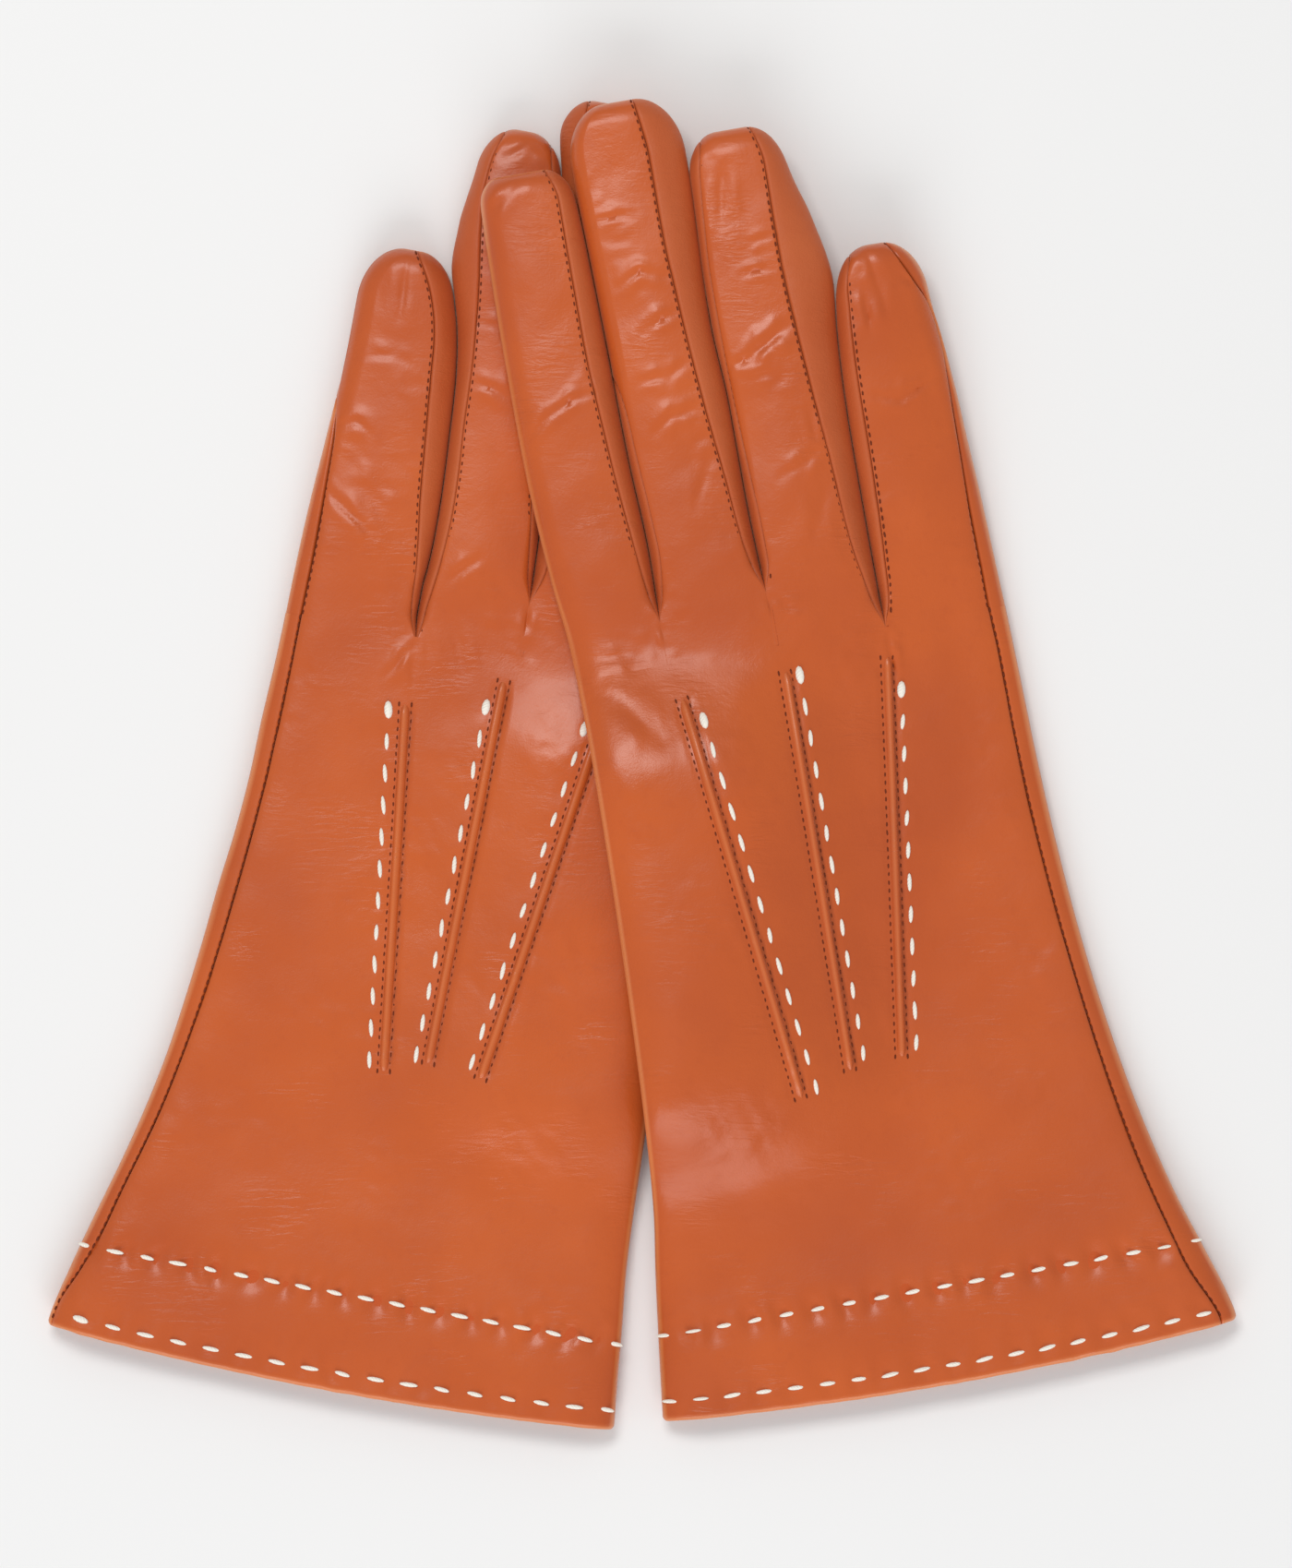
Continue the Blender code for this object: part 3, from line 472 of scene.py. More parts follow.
class Ring:
    """Cross-sections of a flat tube, one for each row. Angles are in degrees: 90 is the end of
    the flat top, 0 half way down the side and -90 the start of the flat bottom."""

    def __init__(self, low, high, rounds, height, opened=(1.0, 1.0), depths=(1.0, 1.0)):
        self.low, self.high, self.height = low, high, height
        self.sides = dict(zip(SIDES, zip((low, high), rounds, opened, depths)))

    def seam_angle(self, side, offset):
        """The angle of a seam that lies offset in from the side, or out of sight if negative."""
        share = np.clip(np.abs(offset) / self.sides[side][1], 0.0, 0.95)
        return np.sign(offset) * np.degrees(np.arccos(1 - share))

    def edge(self, side, angle):
        """(across, height) at an angle round one side."""
        start, radius, opened, depth = self.sides[side]
        radians = np.radians(angle)
        across = start + INWARD[side] * radius * (1 - np.cos(radians))
        round_side = ((1 + np.sin(radians)) / 2) ** depth
        # Before its crotch a finger's side is an upright web, which ends level with the hand.
        web = np.clip((angle - WEB_ANGLE) / -WEB_ANGLE, 0, 1)
        return across, self.height * (opened * round_side + (1 - opened) * web)

    def turns(self, side, first, last, count):
        """Columns round one side, from one angle to another."""
        return [self.edge(side, first + (last - first) * i / count) for i in range(count + 1)]

    def from_seam(self, side, seam, last, count):
        """Columns round one side from its seam, the first ones close together for the seam's edge."""
        span = last - seam
        direction = np.where(span < 0, -1.0, 1.0)
        near = [direction * np.minimum(np.degrees(reach / self.sides[side][1]), share * np.abs(span))
                for reach, share in ((0.0, 0.0), (0.18, 0.08), (0.42, 0.16), (0.8, 0.26))]
        even = [near[-1] + (span - near[-1]) * i / count for i in range(1, count + 1)]
        return [self.edge(side, seam + step) for step in near + even]

    def flat(self, side, is_top, count):
        """Columns across the flat top or the flat bottom, starting from one side."""
        first, last = (self.edge(name, 90)[0] for name in sorted(SIDES, key=lambda name: name != side))
        shares = np.linspace(0, 1, count + 1)[1:]
        return [(first + (last - first) * share, self.height * is_top) for share in shares]

    def half(self, up, round_count, flat_count):
        """Columns of the upper half, for up 1, or the lower half, for up -1."""
        low, high = self.turns("low", 0, 90 * up, round_count), self.turns("high", 90 * up, 0, round_count)
        return low + self.flat("low", up > 0, flat_count) + high[1:]

    def swell(self, across):
        """1 along the middle of the tube and 0 at its sides."""
        middle, half = (self.low + self.high)[:, None] / 2, (self.high - self.low)[:, None] / 2
        return np.clip(1 - ((across - middle) / half) ** 2, 0, 1)


def grid(columns, along):
    """Columns of (across, height) as three grids with the rows first: across, along, height."""
    across, height = (np.stack([np.broadcast_to(c[i], along.shape) for c in columns], axis=1) for i in (0, 1))
    return across, np.broadcast_to(along[:, None], across.shape), height


# ---------------------------------------------------------------- leaves of leather


def grid_normals(points):
    normal = np.cross(np.gradient(points, axis=1), np.gradient(points, axis=0))
    return normal / np.maximum(np.linalg.norm(normal, axis=2, keepdims=True), 1e-12)


def make_object(name, vertices, faces, material, wear=None):
    mesh = bpy.data.meshes.new(name)
    mesh.from_pydata(np.asarray(vertices).tolist(), [], faces)
    mesh.validate()
    # The attribute holds painted highlights above 0 and painted shade below 0, for the leather's material
    if wear is not None:
        layer = mesh.attributes.new("wear", "FLOAT", "POINT")
        layer.data.foreach_set("value", np.asarray(wear, np.float32))
    mesh.materials.append(material)
    mesh.shade_smooth()
    mesh.set_sharp_from_angle(angle=math.radians(50))
    obj = bpy.data.objects.new(name, mesh)
    bpy.context.scene.collection.objects.link(obj)
    return obj


def volume_of(vertices, quads):
    """Six times the volume inside closed quads, negative if they point inwards."""
    a, b, c, d = (vertices[quads[:, i]] for i in range(4))
    return (np.einsum("ij,ij->i", a, np.cross(b, c)) + np.einsum("ij,ij->i", a, np.cross(c, d))).sum()


def shell(name, outer, material, facing, wear, thickness=None, roll=None):
    """A closed leaf of leather from a grid of points on its outer face, in millimetres.

    facing is a rough outward direction; the grid after it holds the painted light at each point, a painted
    highlight where above 0 and painted shade where below 0; and roll is a grid of how far the outer face
    turns in, where a seam pulls it under."""
    normals = grid_normals(outer)
    if (normals * np.asarray(facing)).sum() < 0:
        normals = -normals
    if roll is not None:
        outer = outer - normals * roll[..., None]
    thickness = size("leather") if thickness is None else thickness
    shape = outer.shape[:2]
    inner = outer - normals * np.broadcast_to(np.asarray(thickness, float), shape)[..., None]
    vertices = np.concatenate([outer.reshape(-1, 3), inner.reshape(-1, 3)]) * MM
    shift = shape[0] * shape[1]
    top = np.arange(shift).reshape(shape)
    corners = [top[:-1, :-1], top[:-1, 1:], top[1:, 1:], top[1:, :-1]]
    border = np.concatenate([top[0, :], top[1:, -1], top[-1, -2::-1], top[-2:0:-1, 0]])
    after = np.roll(border, -1)
    faces = np.concatenate([
        np.stack(corners, axis=-1).reshape(-1, 4),
        np.stack([corner + shift for corner in (corners[0], *corners[:0:-1])], axis=-1).reshape(-1, 4),
        np.stack([after, border, border + shift, after + shift], axis=-1),
    ])
    if volume_of(vertices, faces) < 0:
        faces = faces[:, ::-1]
    return make_object(name, vertices, faces.tolist(), material,
                       np.concatenate([np.broadcast_to(wear, shape).ravel()] * 2))


def dress(obj, glove, nodes, slot, finger=None):
    """Ties a piece to its body, or at a finger's bend only bakes its place into its mesh, and hides the nodes
    it stands for.
    """
    body, joint = f"{glove.side}_glove", f"{glove.side}_{finger}_bend"
    if joint in JOINTS:
        across, along = BENDS[finger]
        level = JOINTS[joint]["pos_m"][2]
        start, end = ((*(value * MM for value in glove.to_world(across, place)), level)
                      for place in (along, along + BEND_LENGTH))
        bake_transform(obj)
        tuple(start)
        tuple(end)
    else:
        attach(obj, body)
    if nodes:
        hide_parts(*nodes)


def to_points(glove, across, along, height, base):
    x, y = glove.to_world(across, along)
    return np.stack([x, y, base + height], axis=-1)


def next_to_seam(count, values):
    """The values of the columns next to a seam, from the seam inwards, and 0 for the others."""
    line = np.zeros(count)
    line[:len(values)] = values
    return line


# ---------------------------------------------------------------- hand


def hand_ring(glove, along):
    return Ring(glove.fold(along), glove.outer(along), (HAND_ROUNDING, HAND_ROUNDING), hand_height(along))


def build_hand(glove, leather):
    """The back and the palm, which meet at the fold and at the outer seam."""
    edge = CUFF_ALONG + np.array((0, 0.35, 0.8))
    along = np.concatenate([edge, np.arange(CUFF_ALONG + 1.5, FINGER_BASE - 0.5, 1.0), [FINGER_BASE]])
    ring = hand_ring(glove, along)
    seam = ring.seam_angle("high", glove.outer(along) - glove.seam(along))
    back = ring.turns("low", 0, 90, 9) + ring.flat("low", True, 118)
    back += ring.from_seam("high", seam, 90, 5)[-2::-1]
    palm = ring.from_seam("high", seam, -90, 10) + ring.flat("high", False, 46)
    palm += ring.turns("low", -90, 0, 9)[1:]
    for part, columns, up in (("back", back, 1), ("palm", palm, -1)):
        across, rows, height = grid(columns, along)
        inwards = slice(None, None, -up)  # the seam is the back's last column and the palm's first
        count = across.shape[1]
        # Painted highlights along the fold, the outer edge and the cuff's edge; painted shade in the seam's
        # groove and, on the back, painted shadow beside the points
        painted_rim = (0.8 * bell(across - glove.fold(rows) - 0.35, 0.45) if up > 0 else
                0.9 * bell(across - glove.outer(rows) + 0.35, 0.5))
        wear = np.maximum(0.8 * bell(rows - CUFF_ALONG, 0.7), painted_rim) - next_to_seam(count, SEAM_PAINTED_SHADE)[inwards]
        if up > 0:
            wear = wear - glove.groove_painted_shadow(across, rows)
            height = height + smooth(0.5, 0.97, height / ring.height[:, None]) * glove.relief(across, rows)
        level = glove.base(across, rows)
        outer = to_points(glove, across, rows + glove.cuff_bow(across, rows), height, level)
        # The leaf turns under at the seam and at the cuff's edge.
        hem_roll = 0.6 * np.clip(1 - (rows - CUFF_ALONG) / 0.9, 0, 1) ** 2
        roll = np.maximum(next_to_seam(count, SEAM_ROLL)[inwards], hem_roll)
        leaf = shell(f"{glove.side}_hand_{part}_leather", outer, leather, (0, 0, up), wear, roll=roll)
        dress(leaf, glove, [f"{glove.side}_hand_{part}"], "glazed_leather")


def build_facing(glove, facing):
    """The flesh side of the leather turned up inside the cuff."""
    along = np.arange(CUFF_ALONG + 0.5, CUFF_ALONG + HEM_DEPTH + 0.1, 1.5)
    inset = size("leather") + 0.06
    ring = Ring(glove.fold(along) + inset, glove.outer(along) - inset, (8, 8), hand_height(along) - 2 * inset)
    for part, up in (("back", 1), ("palm", -1)):
        across, rows, height = grid(ring.half(up, 8, 55), along)
        level = glove.base(across, rows) + inset
        outer = to_points(glove, across, rows + glove.cuff_bow(across, rows), height, level)
        leaf = shell(f"{glove.side}_{part}_hem_turning", outer, facing, (0, 0, up), 0.0, thickness=0.6)
        dress(leaf, glove, [f"{glove.side}_{part}_hem_facing"], "facing_leather")


# ---------------------------------------------------------------- fingers


def finger_along(tip):
    """Rows of a finger, closer together round its tip."""
    corner = 12.0
    round_tip = tip - corner + corner * np.sin(np.radians(np.linspace(0, 90, 20)))
    return np.concatenate([np.arange(FINGER_BASE, tip - corner - 0.4, 0.8), round_tip])


def finger_ring(glove, name, along):
    """A finger's cross-sections, how far each side is open, and the angle of each side's seam."""
    finger = glove.fingers[name]
    tip = finger["tip"]
    lines, offsets, opened = [], [], []
    for side, crotch, corner in zip(SIDES, finger["crotches"], finger["corners"]):
        line, seam = curve_through(finger[side])(along), finger[side + "_seam"]
        length = corner * TIP_STRETCH
        past = np.clip((along - (tip - length)) / length, 0, 1)
        inset = corner * (1 - np.sqrt(1 - past**2 * TIP_SHARE))
        if crotch is not None:
            inset = inset + SIDE_GAP * smooth(crotch, crotch + 5, along)
        opened.append(np.ones_like(along) if crotch is None else smooth(crotch, crotch + 7, along))
        lines.append(line + INWARD[side] * inset)
        offsets.append(None if seam is None else
                       np.maximum(INWARD[side] * (curve_through(seam)(along) - line) - inset, -0.6))
    low, high = lines
    past = np.clip((along - (tip - 5.0)) / 5.0, 0, 1)
    height = HAND_HEIGHT * np.sqrt(1 - past**2 * TIP_SHARE)
    fold_rounding = HAND_ROUNDING + (4.0 - HAND_ROUNDING) * smooth(FINGER_BASE, FINGER_BASE + 30, along)
    rounds = []
    for offset, crotch, started, width in zip(offsets, finger["crotches"], opened, (2.6, 3.4)):
        if crotch is None:
            radius = np.maximum(fold_rounding, 0 if offset is None else offset / 0.8)
            rounds.append(np.minimum(radius, (high - low) * 0.46))
        else:
            reach = np.maximum(width, np.maximum(offset, 0) / 0.86)
            rounds.append(np.minimum(0.25 + (reach - 0.25) * started, (high - low) * 0.52))
    squeeze = np.minimum(1.0, 0.98 * (high - low) / (rounds[0] + rounds[1]))
    depths = [1.0 if crotch is None else GAP_DEPTH for crotch in finger["crotches"]]
    ring = Ring(low, high, [radius * squeeze for radius in rounds], height, opened, depths)
    seams = [None if offset is None else ring.seam_angle(side, offset)
             for side, offset in zip(SIDES, offsets)]
    return ring, opened, seams


def swollen(glove, ring, across, along, height, share, full):
    """The height of a finger's upper side with its relief and its swollen middle."""
    grown = smooth(FINGER_BASE, FINGER_BASE + 22, along)
    height = height + smooth(0.45, 1.0, share) * glove.relief(across, along) * full
    return height + size("finger_swell") * grown * ring.swell(across) * share * full


def build_finger(glove, name, leather, gusset):
    """The back tongue, the palm tongue and the fourchettes of one finger."""
    finger = glove.fingers[name]
    tip = finger["tip"]
    along = finger_along(tip)
    ring, (open_low, open_high), (low_seam, high_seam) = finger_ring(glove, name, along)
    full = np.clip(ring.height / 5, 0, 1)[:, None]  # below 1 at the tip only
    thickness = size("leather") * np.clip(ring.height / 3.5, 0.12, 1)[:, None]

    def leaf(part, columns, facing, ends, nodes, painted_rim=None, shade=None):
        """ends holds how far each end of the columns is open, None for a fold."""
        across, rows, height = grid(columns, along)
        share = height / np.maximum(ring.height[:, None], 0.01)
        if facing[2] > 0:
            height = swollen(glove, ring, across, rows, height, share, full)
        level = glove.base(across, rows) + (HAND_HEIGHT - ring.height[:, None]) / 2
        outer = to_points(glove, across, rows, height, level)
        # Painted shade on the fourchettes, and a painted highlight along a fold
        wear = np.zeros(across.shape) if shade is None else -shade * (1.2 - 0.5 * share)
        if painted_rim is not None:
            wear = np.maximum(wear, 0.8 * bell(np.abs(across - painted_rim[:, None]) - 0.35, 0.4))
        # A painted highlight round the fingertip's rim
        wear = np.maximum(wear, 0.55 * bell(tip - rows, 0.5) * (share > 0.3))
        roll = np.zeros(across.shape)
        for amount, step in zip(ends, (1, -1)):
            if amount is not None:
                roll += next_to_seam(across.shape[1], SEAM_ROLL)[::step] * amount[:, None] * full
                # Painted shade in the groove where the seam turns the leather in
                painted_shade = next_to_seam(across.shape[1], SEAM_PAINTED_SHADE)[::step] * (0.9 if shade is None else 0.35)
                wear = wear - painted_shade * (amount > 0.02)[:, None]
        material, slot = (leather, "glazed_leather") if shade is None else (gusset, "fourchette_leather")
        obj = shell(f"{glove.side}_{name}_{part}", outer, material, facing, wear, thickness, roll)
        dress(obj, glove, nodes, slot, name)

    low_fold, high_fold = low_seam is None, finger["crotches"][1] is None
    columns = ring.turns("low", 0, 90, 8) if low_fold else ring.from_seam("low", low_seam, 90, 3)
    columns += ring.flat("low", True, 23) + ring.from_seam("high", high_seam, 90, 3)[-2::-1]
    leaf("back_leather", columns, (0, 0, 1), (None if low_fold else open_low, open_high),
         [f"{glove.side}_{name}_back"], ring.low if low_fold else None)

    for part, side, seam, amount, crotch in zip(("inner", "outer"), SIDES, (low_seam, high_seam),
                                                (open_low, open_high), finger["crotches"]):
        if crotch is None:
            continue
        nodes = [f"{glove.side}_{name}_{part}_fourchette"]
        if (name, part) == ("ring", "outer"):
            nodes.append(f"{glove.side}_ring_fourchette_root")
        x, y = glove.to_world(-INWARD[side], 0.0)
        facing = (x - glove.place[0], y - glove.place[1], 0.2)
        # Painted shade, darkest low between the fingers and fading towards the tip
        shade = GUSSET_PAINTED_SHADE[glove.side][name] if part == "outer" else INNER_PAINTED_SHADE
        shade = shade * (1 - 0.55 * smooth(FINGER_BASE + 15, tip - 12, along))[:, None]
        columns = ring.from_seam(side, seam, WEB_ANGLE, 10)
        leaf(part + "_gusset", columns, facing, (amount, amount), nodes, shade=shade)

    under = -90 - WEB_ANGLE
    columns = (ring.from_seam("high", high_seam, -90, 8) if high_fold else
               [ring.edge("high", WEB_ANGLE + under * share) for share in (0, 0.15, 0.35, 0.6, 1.0)])
    columns += ring.flat("high", False, 11)
    columns += (ring.turns("low", -90, 0, 8)[1:] if low_fold else
                [ring.edge("low", -90 - under * share) for share in (0.4, 0.65, 0.85, 1.0)])
    leaf("palm_leather", columns, (0, 0, -1), (open_high, None if low_fold else open_low),
         [f"{glove.side}_{name}_palm"], ring.high if high_fold else None)


# ---------------------------------------------------------------- thumb


def build_thumb(glove, leather):
    """The thumb lies flattened under the palm, and is sewn to it round its mouth."""
    tip = THUMB_MOUTH + THUMB_LENGTH
    round_tip = tip - 9 + 9 * np.sin(np.radians(np.linspace(0, 90, 12)))
    along = np.concatenate([np.arange(THUMB_HEEL, tip - 9.4, 1.0), round_tip])
    share = np.clip((along - THUMB_MOUTH) / THUMB_LENGTH, 0, 1)
    centre = thumb_centre(share)
    half = (THUMB_WIDTH * (1 - share) + THUMB_TIP_WIDTH * share) / 2
    for past in (np.clip((along - (tip - 8)) / 8, 0, 1), np.clip(1 - (along - THUMB_HEEL) / 9, 0, 1)):
        half = half - 8 * (1 - np.sqrt(1 - TIP_SHARE * past**2))
    height = THUMB_HEIGHT * np.sqrt(1 - 0.97 * np.clip((along - (tip - 4)) / 4, 0, 1) ** 2)
    rounding = 4 * np.minimum(1, half / 5)
    ring = Ring(centre - half, centre + half, (rounding, rounding), height)
    thickness = 0.6 * np.clip(height / 2.5, 0.15, 1)[:, None]
    for part, up in (("upper", 1), ("lower", -1)):
        across, rows, rise = grid(ring.half(up, 7, 15), along)
        level = glove.rest(across, rows) + (THUMB_HEIGHT - height[:, None]) / 2
        outer = to_points(glove, across, rows, rise, level)
        leaf = shell(f"{glove.side}_thumb_{part}_leather", outer, leather, (0, 0, up), 0.0, thickness)
        dress(leaf, glove, [f"{glove.side}_thumb_{part}"], "glazed_leather")


# ---------------------------------------------------------------- points


def top_height(glove, across, along):
    """Height of the back's leather above the table at a place on the hand."""
    across, along = np.asarray(across, float), np.asarray(along, float)
    inside = np.minimum(across - glove.fold(along), glove.outer(along) - across)
    lift = (1 + np.sqrt(1 - np.clip(1 - inside / HAND_ROUNDING, 0, 1) ** 2)) / 2
    relief = glove.relief(across, along) * smooth(0.5, 0.97, lift)
    return glove.base(across, along) + hand_height(along) * lift + relief


def along_and_across(point):
    """A point's run from its knuckle end to its cuff end, and the direction across it."""
    run = np.array(point[1]) - np.array(point[0])
    sideways = np.array([-run[1], run[0]]) / np.linalg.norm(run)
    return run, sideways if sideways[0] > 0 else -sideways


def build_welts(glove, leather):
    """Each point is a tuck of leather, steeper on the side of its hand-sewn thread."""
    profile = np.array([(-1.0, -0.35), (-0.92, 0.12), (-0.7, 0.42), (-0.35, 0.78), (0.05, 1.0),
                        (0.42, 0.96), (0.7, 0.62), (0.86, 0.1), (0.9, -0.35)])
    shares = np.linspace(0, 1, 110)[:, None]
    ends = np.minimum(1, np.sin(math.pi * shares) * 14) ** 0.6
    for name, point in zip(POINT_NAMES[glove.side], glove.points):
        run, sideways = along_and_across(point)
        spread = profile[:, 0] * size("point_width") / 2 * (0.45 + 0.55 * ends)
        across, along = (point[0][i] + run[i] * shares + sideways[i] * spread for i in (0, 1))
        level = top_height(glove, *(point[0][i] + run[i] * shares for i in (0, 1)))
        tuck = np.where(profile[:, 1] > 0, profile[:, 1] * size("point_height") * ends, profile[:, 1]) - 0.05
        # A painted highlight along the ridge of the tuck
        wear = np.broadcast_to(0.35 * bell(profile[:, 0], 0.5), across.shape)
        welt = shell(f"{glove.side}_{name}_point_tuck", to_points(glove, across, along, tuck, level), leather,
                     (0, 0, 1), wear, thickness=0.3)
        dress(welt, glove, [f"{glove.side}_{name}_point_welt"], "glazed_leather")


# ---------------------------------------------------------------- trees of nodes


class NodePen:
    """Adds nodes to a tree: a node's settings, constants and links in one call."""

    def __init__(self, tree):
        self.nodes, self.links = tree.nodes, tree.links

    def feed(self, node, inputs):
        """Sets each input to a value, or links it to another node's output."""
        for key, value in inputs.items():
            if isinstance(value, bpy.types.NodeSocket):
                self.links.new(value, node.inputs[key])
            else:
                node.inputs[key].default_value = value

    def add(self, kind, inputs=(), **settings):
        node = self.nodes.new(kind)
        for key, value in settings.items():
            setattr(node, key, value)
        self.feed(node, dict(inputs))
        return node

    def math(self, operation, *values):
        return self.add("ShaderNodeMath", enumerate(values), operation=operation).outputs["Value"]

    def noise(self, scale, detail=2.0, rough=0.5, distortion=0.0, place=None):
        place = place or self.add("ShaderNodeTexCoord").outputs["Object"]
        return self.add("ShaderNodeTexNoise", {
            "Vector": place, "Scale": scale, "Detail": detail, "Roughness": rough, "Distortion": distortion,
        }).outputs["Fac"]

    def mix(self, first, second, factor):
        first, second = ((*value, 1.0) if isinstance(value, tuple) else value for value in (first, second))
        return self.add("ShaderNodeMix", {0: factor, 6: first, 7: second}, data_type="RGBA").outputs[2]

    def ramp(self, value, low, high, out_low, out_high):
        return self.add("ShaderNodeMapRange", {
            "Value": value, "From Min": low, "From Max": high, "To Min": out_low, "To Max": out_high,
        }).outputs["Result"]

    def bump(self, height, strength, distance, **under):
        """A Bump node's normal, over another normal where one is given."""
        return self.add("ShaderNodeBump", {"Height": height, "Strength": strength, "Distance": distance,
                                           **under}).outputs["Normal"]


# ---------------------------------------------------------------- stitches


def stitch_tree(name, fat_first):
    """Geometry nodes that sew one stitch at every step along the paths of a mesh."""
    tree = bpy.data.node_groups.new(name, "GeometryNodeTree")
    tree.is_modifier = True
    sockets = {}
    for label, kind in {"Geometry": "Geometry", "Pitch": "Float", "Length": "Float", "Width": "Float",
                        "Height": "Float", "Turn": "Float", "Knot": "Float", "Thread": "Material",
                        "Seed": "Int"}.items():
        socket = tree.interface.new_socket(label, in_out="INPUT", socket_type="NodeSocket" + kind)
        sockets[label] = socket.identifier
    tree.interface.new_socket("Geometry", in_out="OUTPUT", socket_type="NodeSocketGeometry")
    pen = NodePen(tree)
    given = pen.add("NodeGroupInput").outputs

    def chance(low, high):
        return pen.add("FunctionNodeRandomValue", {2: low, 3: high, "Seed": given["Seed"]},
                       data_type="FLOAT").outputs[1]

    path = pen.add("GeometryNodeMeshToCurve", {"Mesh": given["Geometry"]}).outputs["Curve"]
    steps = pen.add("GeometryNodeResampleCurve", {"Curve": path, "Length": given["Pitch"]}, mode="LENGTH")
    segments, rings, spread = (10, 8, 0.09) if fat_first else (6, 4, 0.12)
    ball = pen.add("GeometryNodeMeshUVSphere", {"Segments": segments, "Rings": rings, "Radius": 0.5})
    # ply runs slantwise along a stitch, for the turns of its thread.
    place = pen.add("GeometryNodeInputPosition").outputs["Position"]
    place = pen.add("ShaderNodeSeparateXYZ", {"Vector": place}).outputs
    ply = pen.math("MULTIPLY_ADD", place["Y"], 0.35, place["X"])
    stitch = pen.add("GeometryNodeStoreNamedAttribute", {
        "Geometry": ball.outputs["Mesh"], "Name": "ply", "Value": ply,
    }, data_type="FLOAT", domain="POINT")
    tangent = pen.add("GeometryNodeInputTangent").outputs["Tangent"]
    ahead = pen.add("FunctionNodeAlignEulerToVector", {"Vector": tangent}, axis="X").outputs["Rotation"]
    around = pen.add("ShaderNodeCombineXYZ", {"Z": pen.math("ADD", chance(-spread, spread), given["Turn"])})
    turned = pen.add("FunctionNodeRotateEuler", {"Rotation": ahead, "Rotate By": around.outputs["Vector"]},
                     rotation_type="EULER", space="LOCAL")
    fat = 1.0
    if fat_first:
        index = pen.add("GeometryNodeSplineParameter").outputs["Index"]
        is_first = pen.add("FunctionNodeCompare", {2: index, 3: 0}, data_type="INT", operation="EQUAL")
        fat = pen.add("GeometryNodeSwitch", {"Switch": is_first.outputs["Result"], "False": 1.0,
                                             "True": given["Knot"]}, input_type="FLOAT").outputs["Output"]
    scale = pen.add("ShaderNodeCombineXYZ", {
        "X": pen.math("MULTIPLY", given["Length"], chance(0.9, 1.1)),
        "Y": pen.math("MULTIPLY", given["Width"], fat),
        "Z": pen.math("MULTIPLY", given["Height"], fat),
    })
    sewn = pen.add("GeometryNodeInstanceOnPoints", {
        "Points": steps.outputs["Curve"], "Instance": stitch.outputs["Geometry"],
        "Rotation": turned.outputs["Rotation"], "Scale": scale.outputs["Vector"],
    })
    real = pen.add("GeometryNodeRealizeInstances", {"Geometry": sewn.outputs["Instances"]})
    even = pen.add("GeometryNodeSetShadeSmooth", {"Geometry": real.outputs["Geometry"]})
    painted = pen.add("GeometryNodeSetMaterial", {
        "Geometry": even.outputs["Geometry"], "Material": given["Thread"],
    })
    pen.add("NodeGroupOutput", {"Geometry": painted.outputs["Geometry"]})
    return tree, sockets


def sew(name, paths, tree_and_sockets, stitch, material, seed, turn=0.0, knot=1.0):
    """Stitches along world-space paths, in millimetres, as one plain mesh."""
    tree, sockets = tree_and_sockets
    vertices, edges = [], []
    for path in paths:
        first = len(vertices)
        vertices += (np.asarray(path) * MM).tolist()
        edges += [(i, i + 1) for i in range(first, len(vertices) - 1)]
    guide = bpy.data.meshes.new(name + "_guide")
    guide.from_pydata(vertices, edges, [])
    obj = bpy.data.objects.new(name + "_guide", guide)
    bpy.context.scene.collection.objects.link(obj)
    modifier = obj.modifiers.new("Stitches", "NODES")
    modifier.node_group = tree
    values = {"Thread": material, "Seed": seed, "Turn": turn, "Knot": knot}
    for label in ("Pitch", "Length", "Width", "Height"):
        values[label] = getattr(bpy.context.scene.glove_sizes, f"{stitch}_{label.lower()}")
    for label, value in values.items():
        modifier[sockets[label]] = value
    bpy.context.view_layer.update()
    graph = bpy.context.evaluated_depsgraph_get()
    mesh = bpy.data.meshes.new_from_object(obj.evaluated_get(graph), depsgraph=graph)
    mesh.name = name
    modifier.node_group = None
    bpy.data.objects.remove(obj)
    bpy.data.meshes.remove(guide)
    if not mesh.polygons:
        raise RuntimeError(f"{name}: no stitches were sewn")
    made = bpy.data.objects.new(name, mesh)
    bpy.context.scene.collection.objects.link(made)
    return made


def line_on_back(glove, start, end, lift):
    """A straight path over the back, from one (across, along) place to another."""
    across, along = (np.array(start) + (np.array(end) - np.array(start)) * np.linspace(0, 1, 60)[:, None]).T
    return to_points(glove, across, along, lift, top_height(glove, across, along))


def hem_path(glove, fold_along, outer_along, low_margin, high_margin):
    """A row round the back of the hem, from the outer side to the fold."""
    along = np.linspace(outer_along, fold_along, 90)
    start, end = float(glove.outer(outer_along)) - high_margin, float(glove.fold(fold_along)) + low_margin
    across = np.linspace(start, end, 90)
    level = top_height(glove, across, along)
    return to_points(glove, across, along + glove.cuff_bow(across, along), 0.12, level)


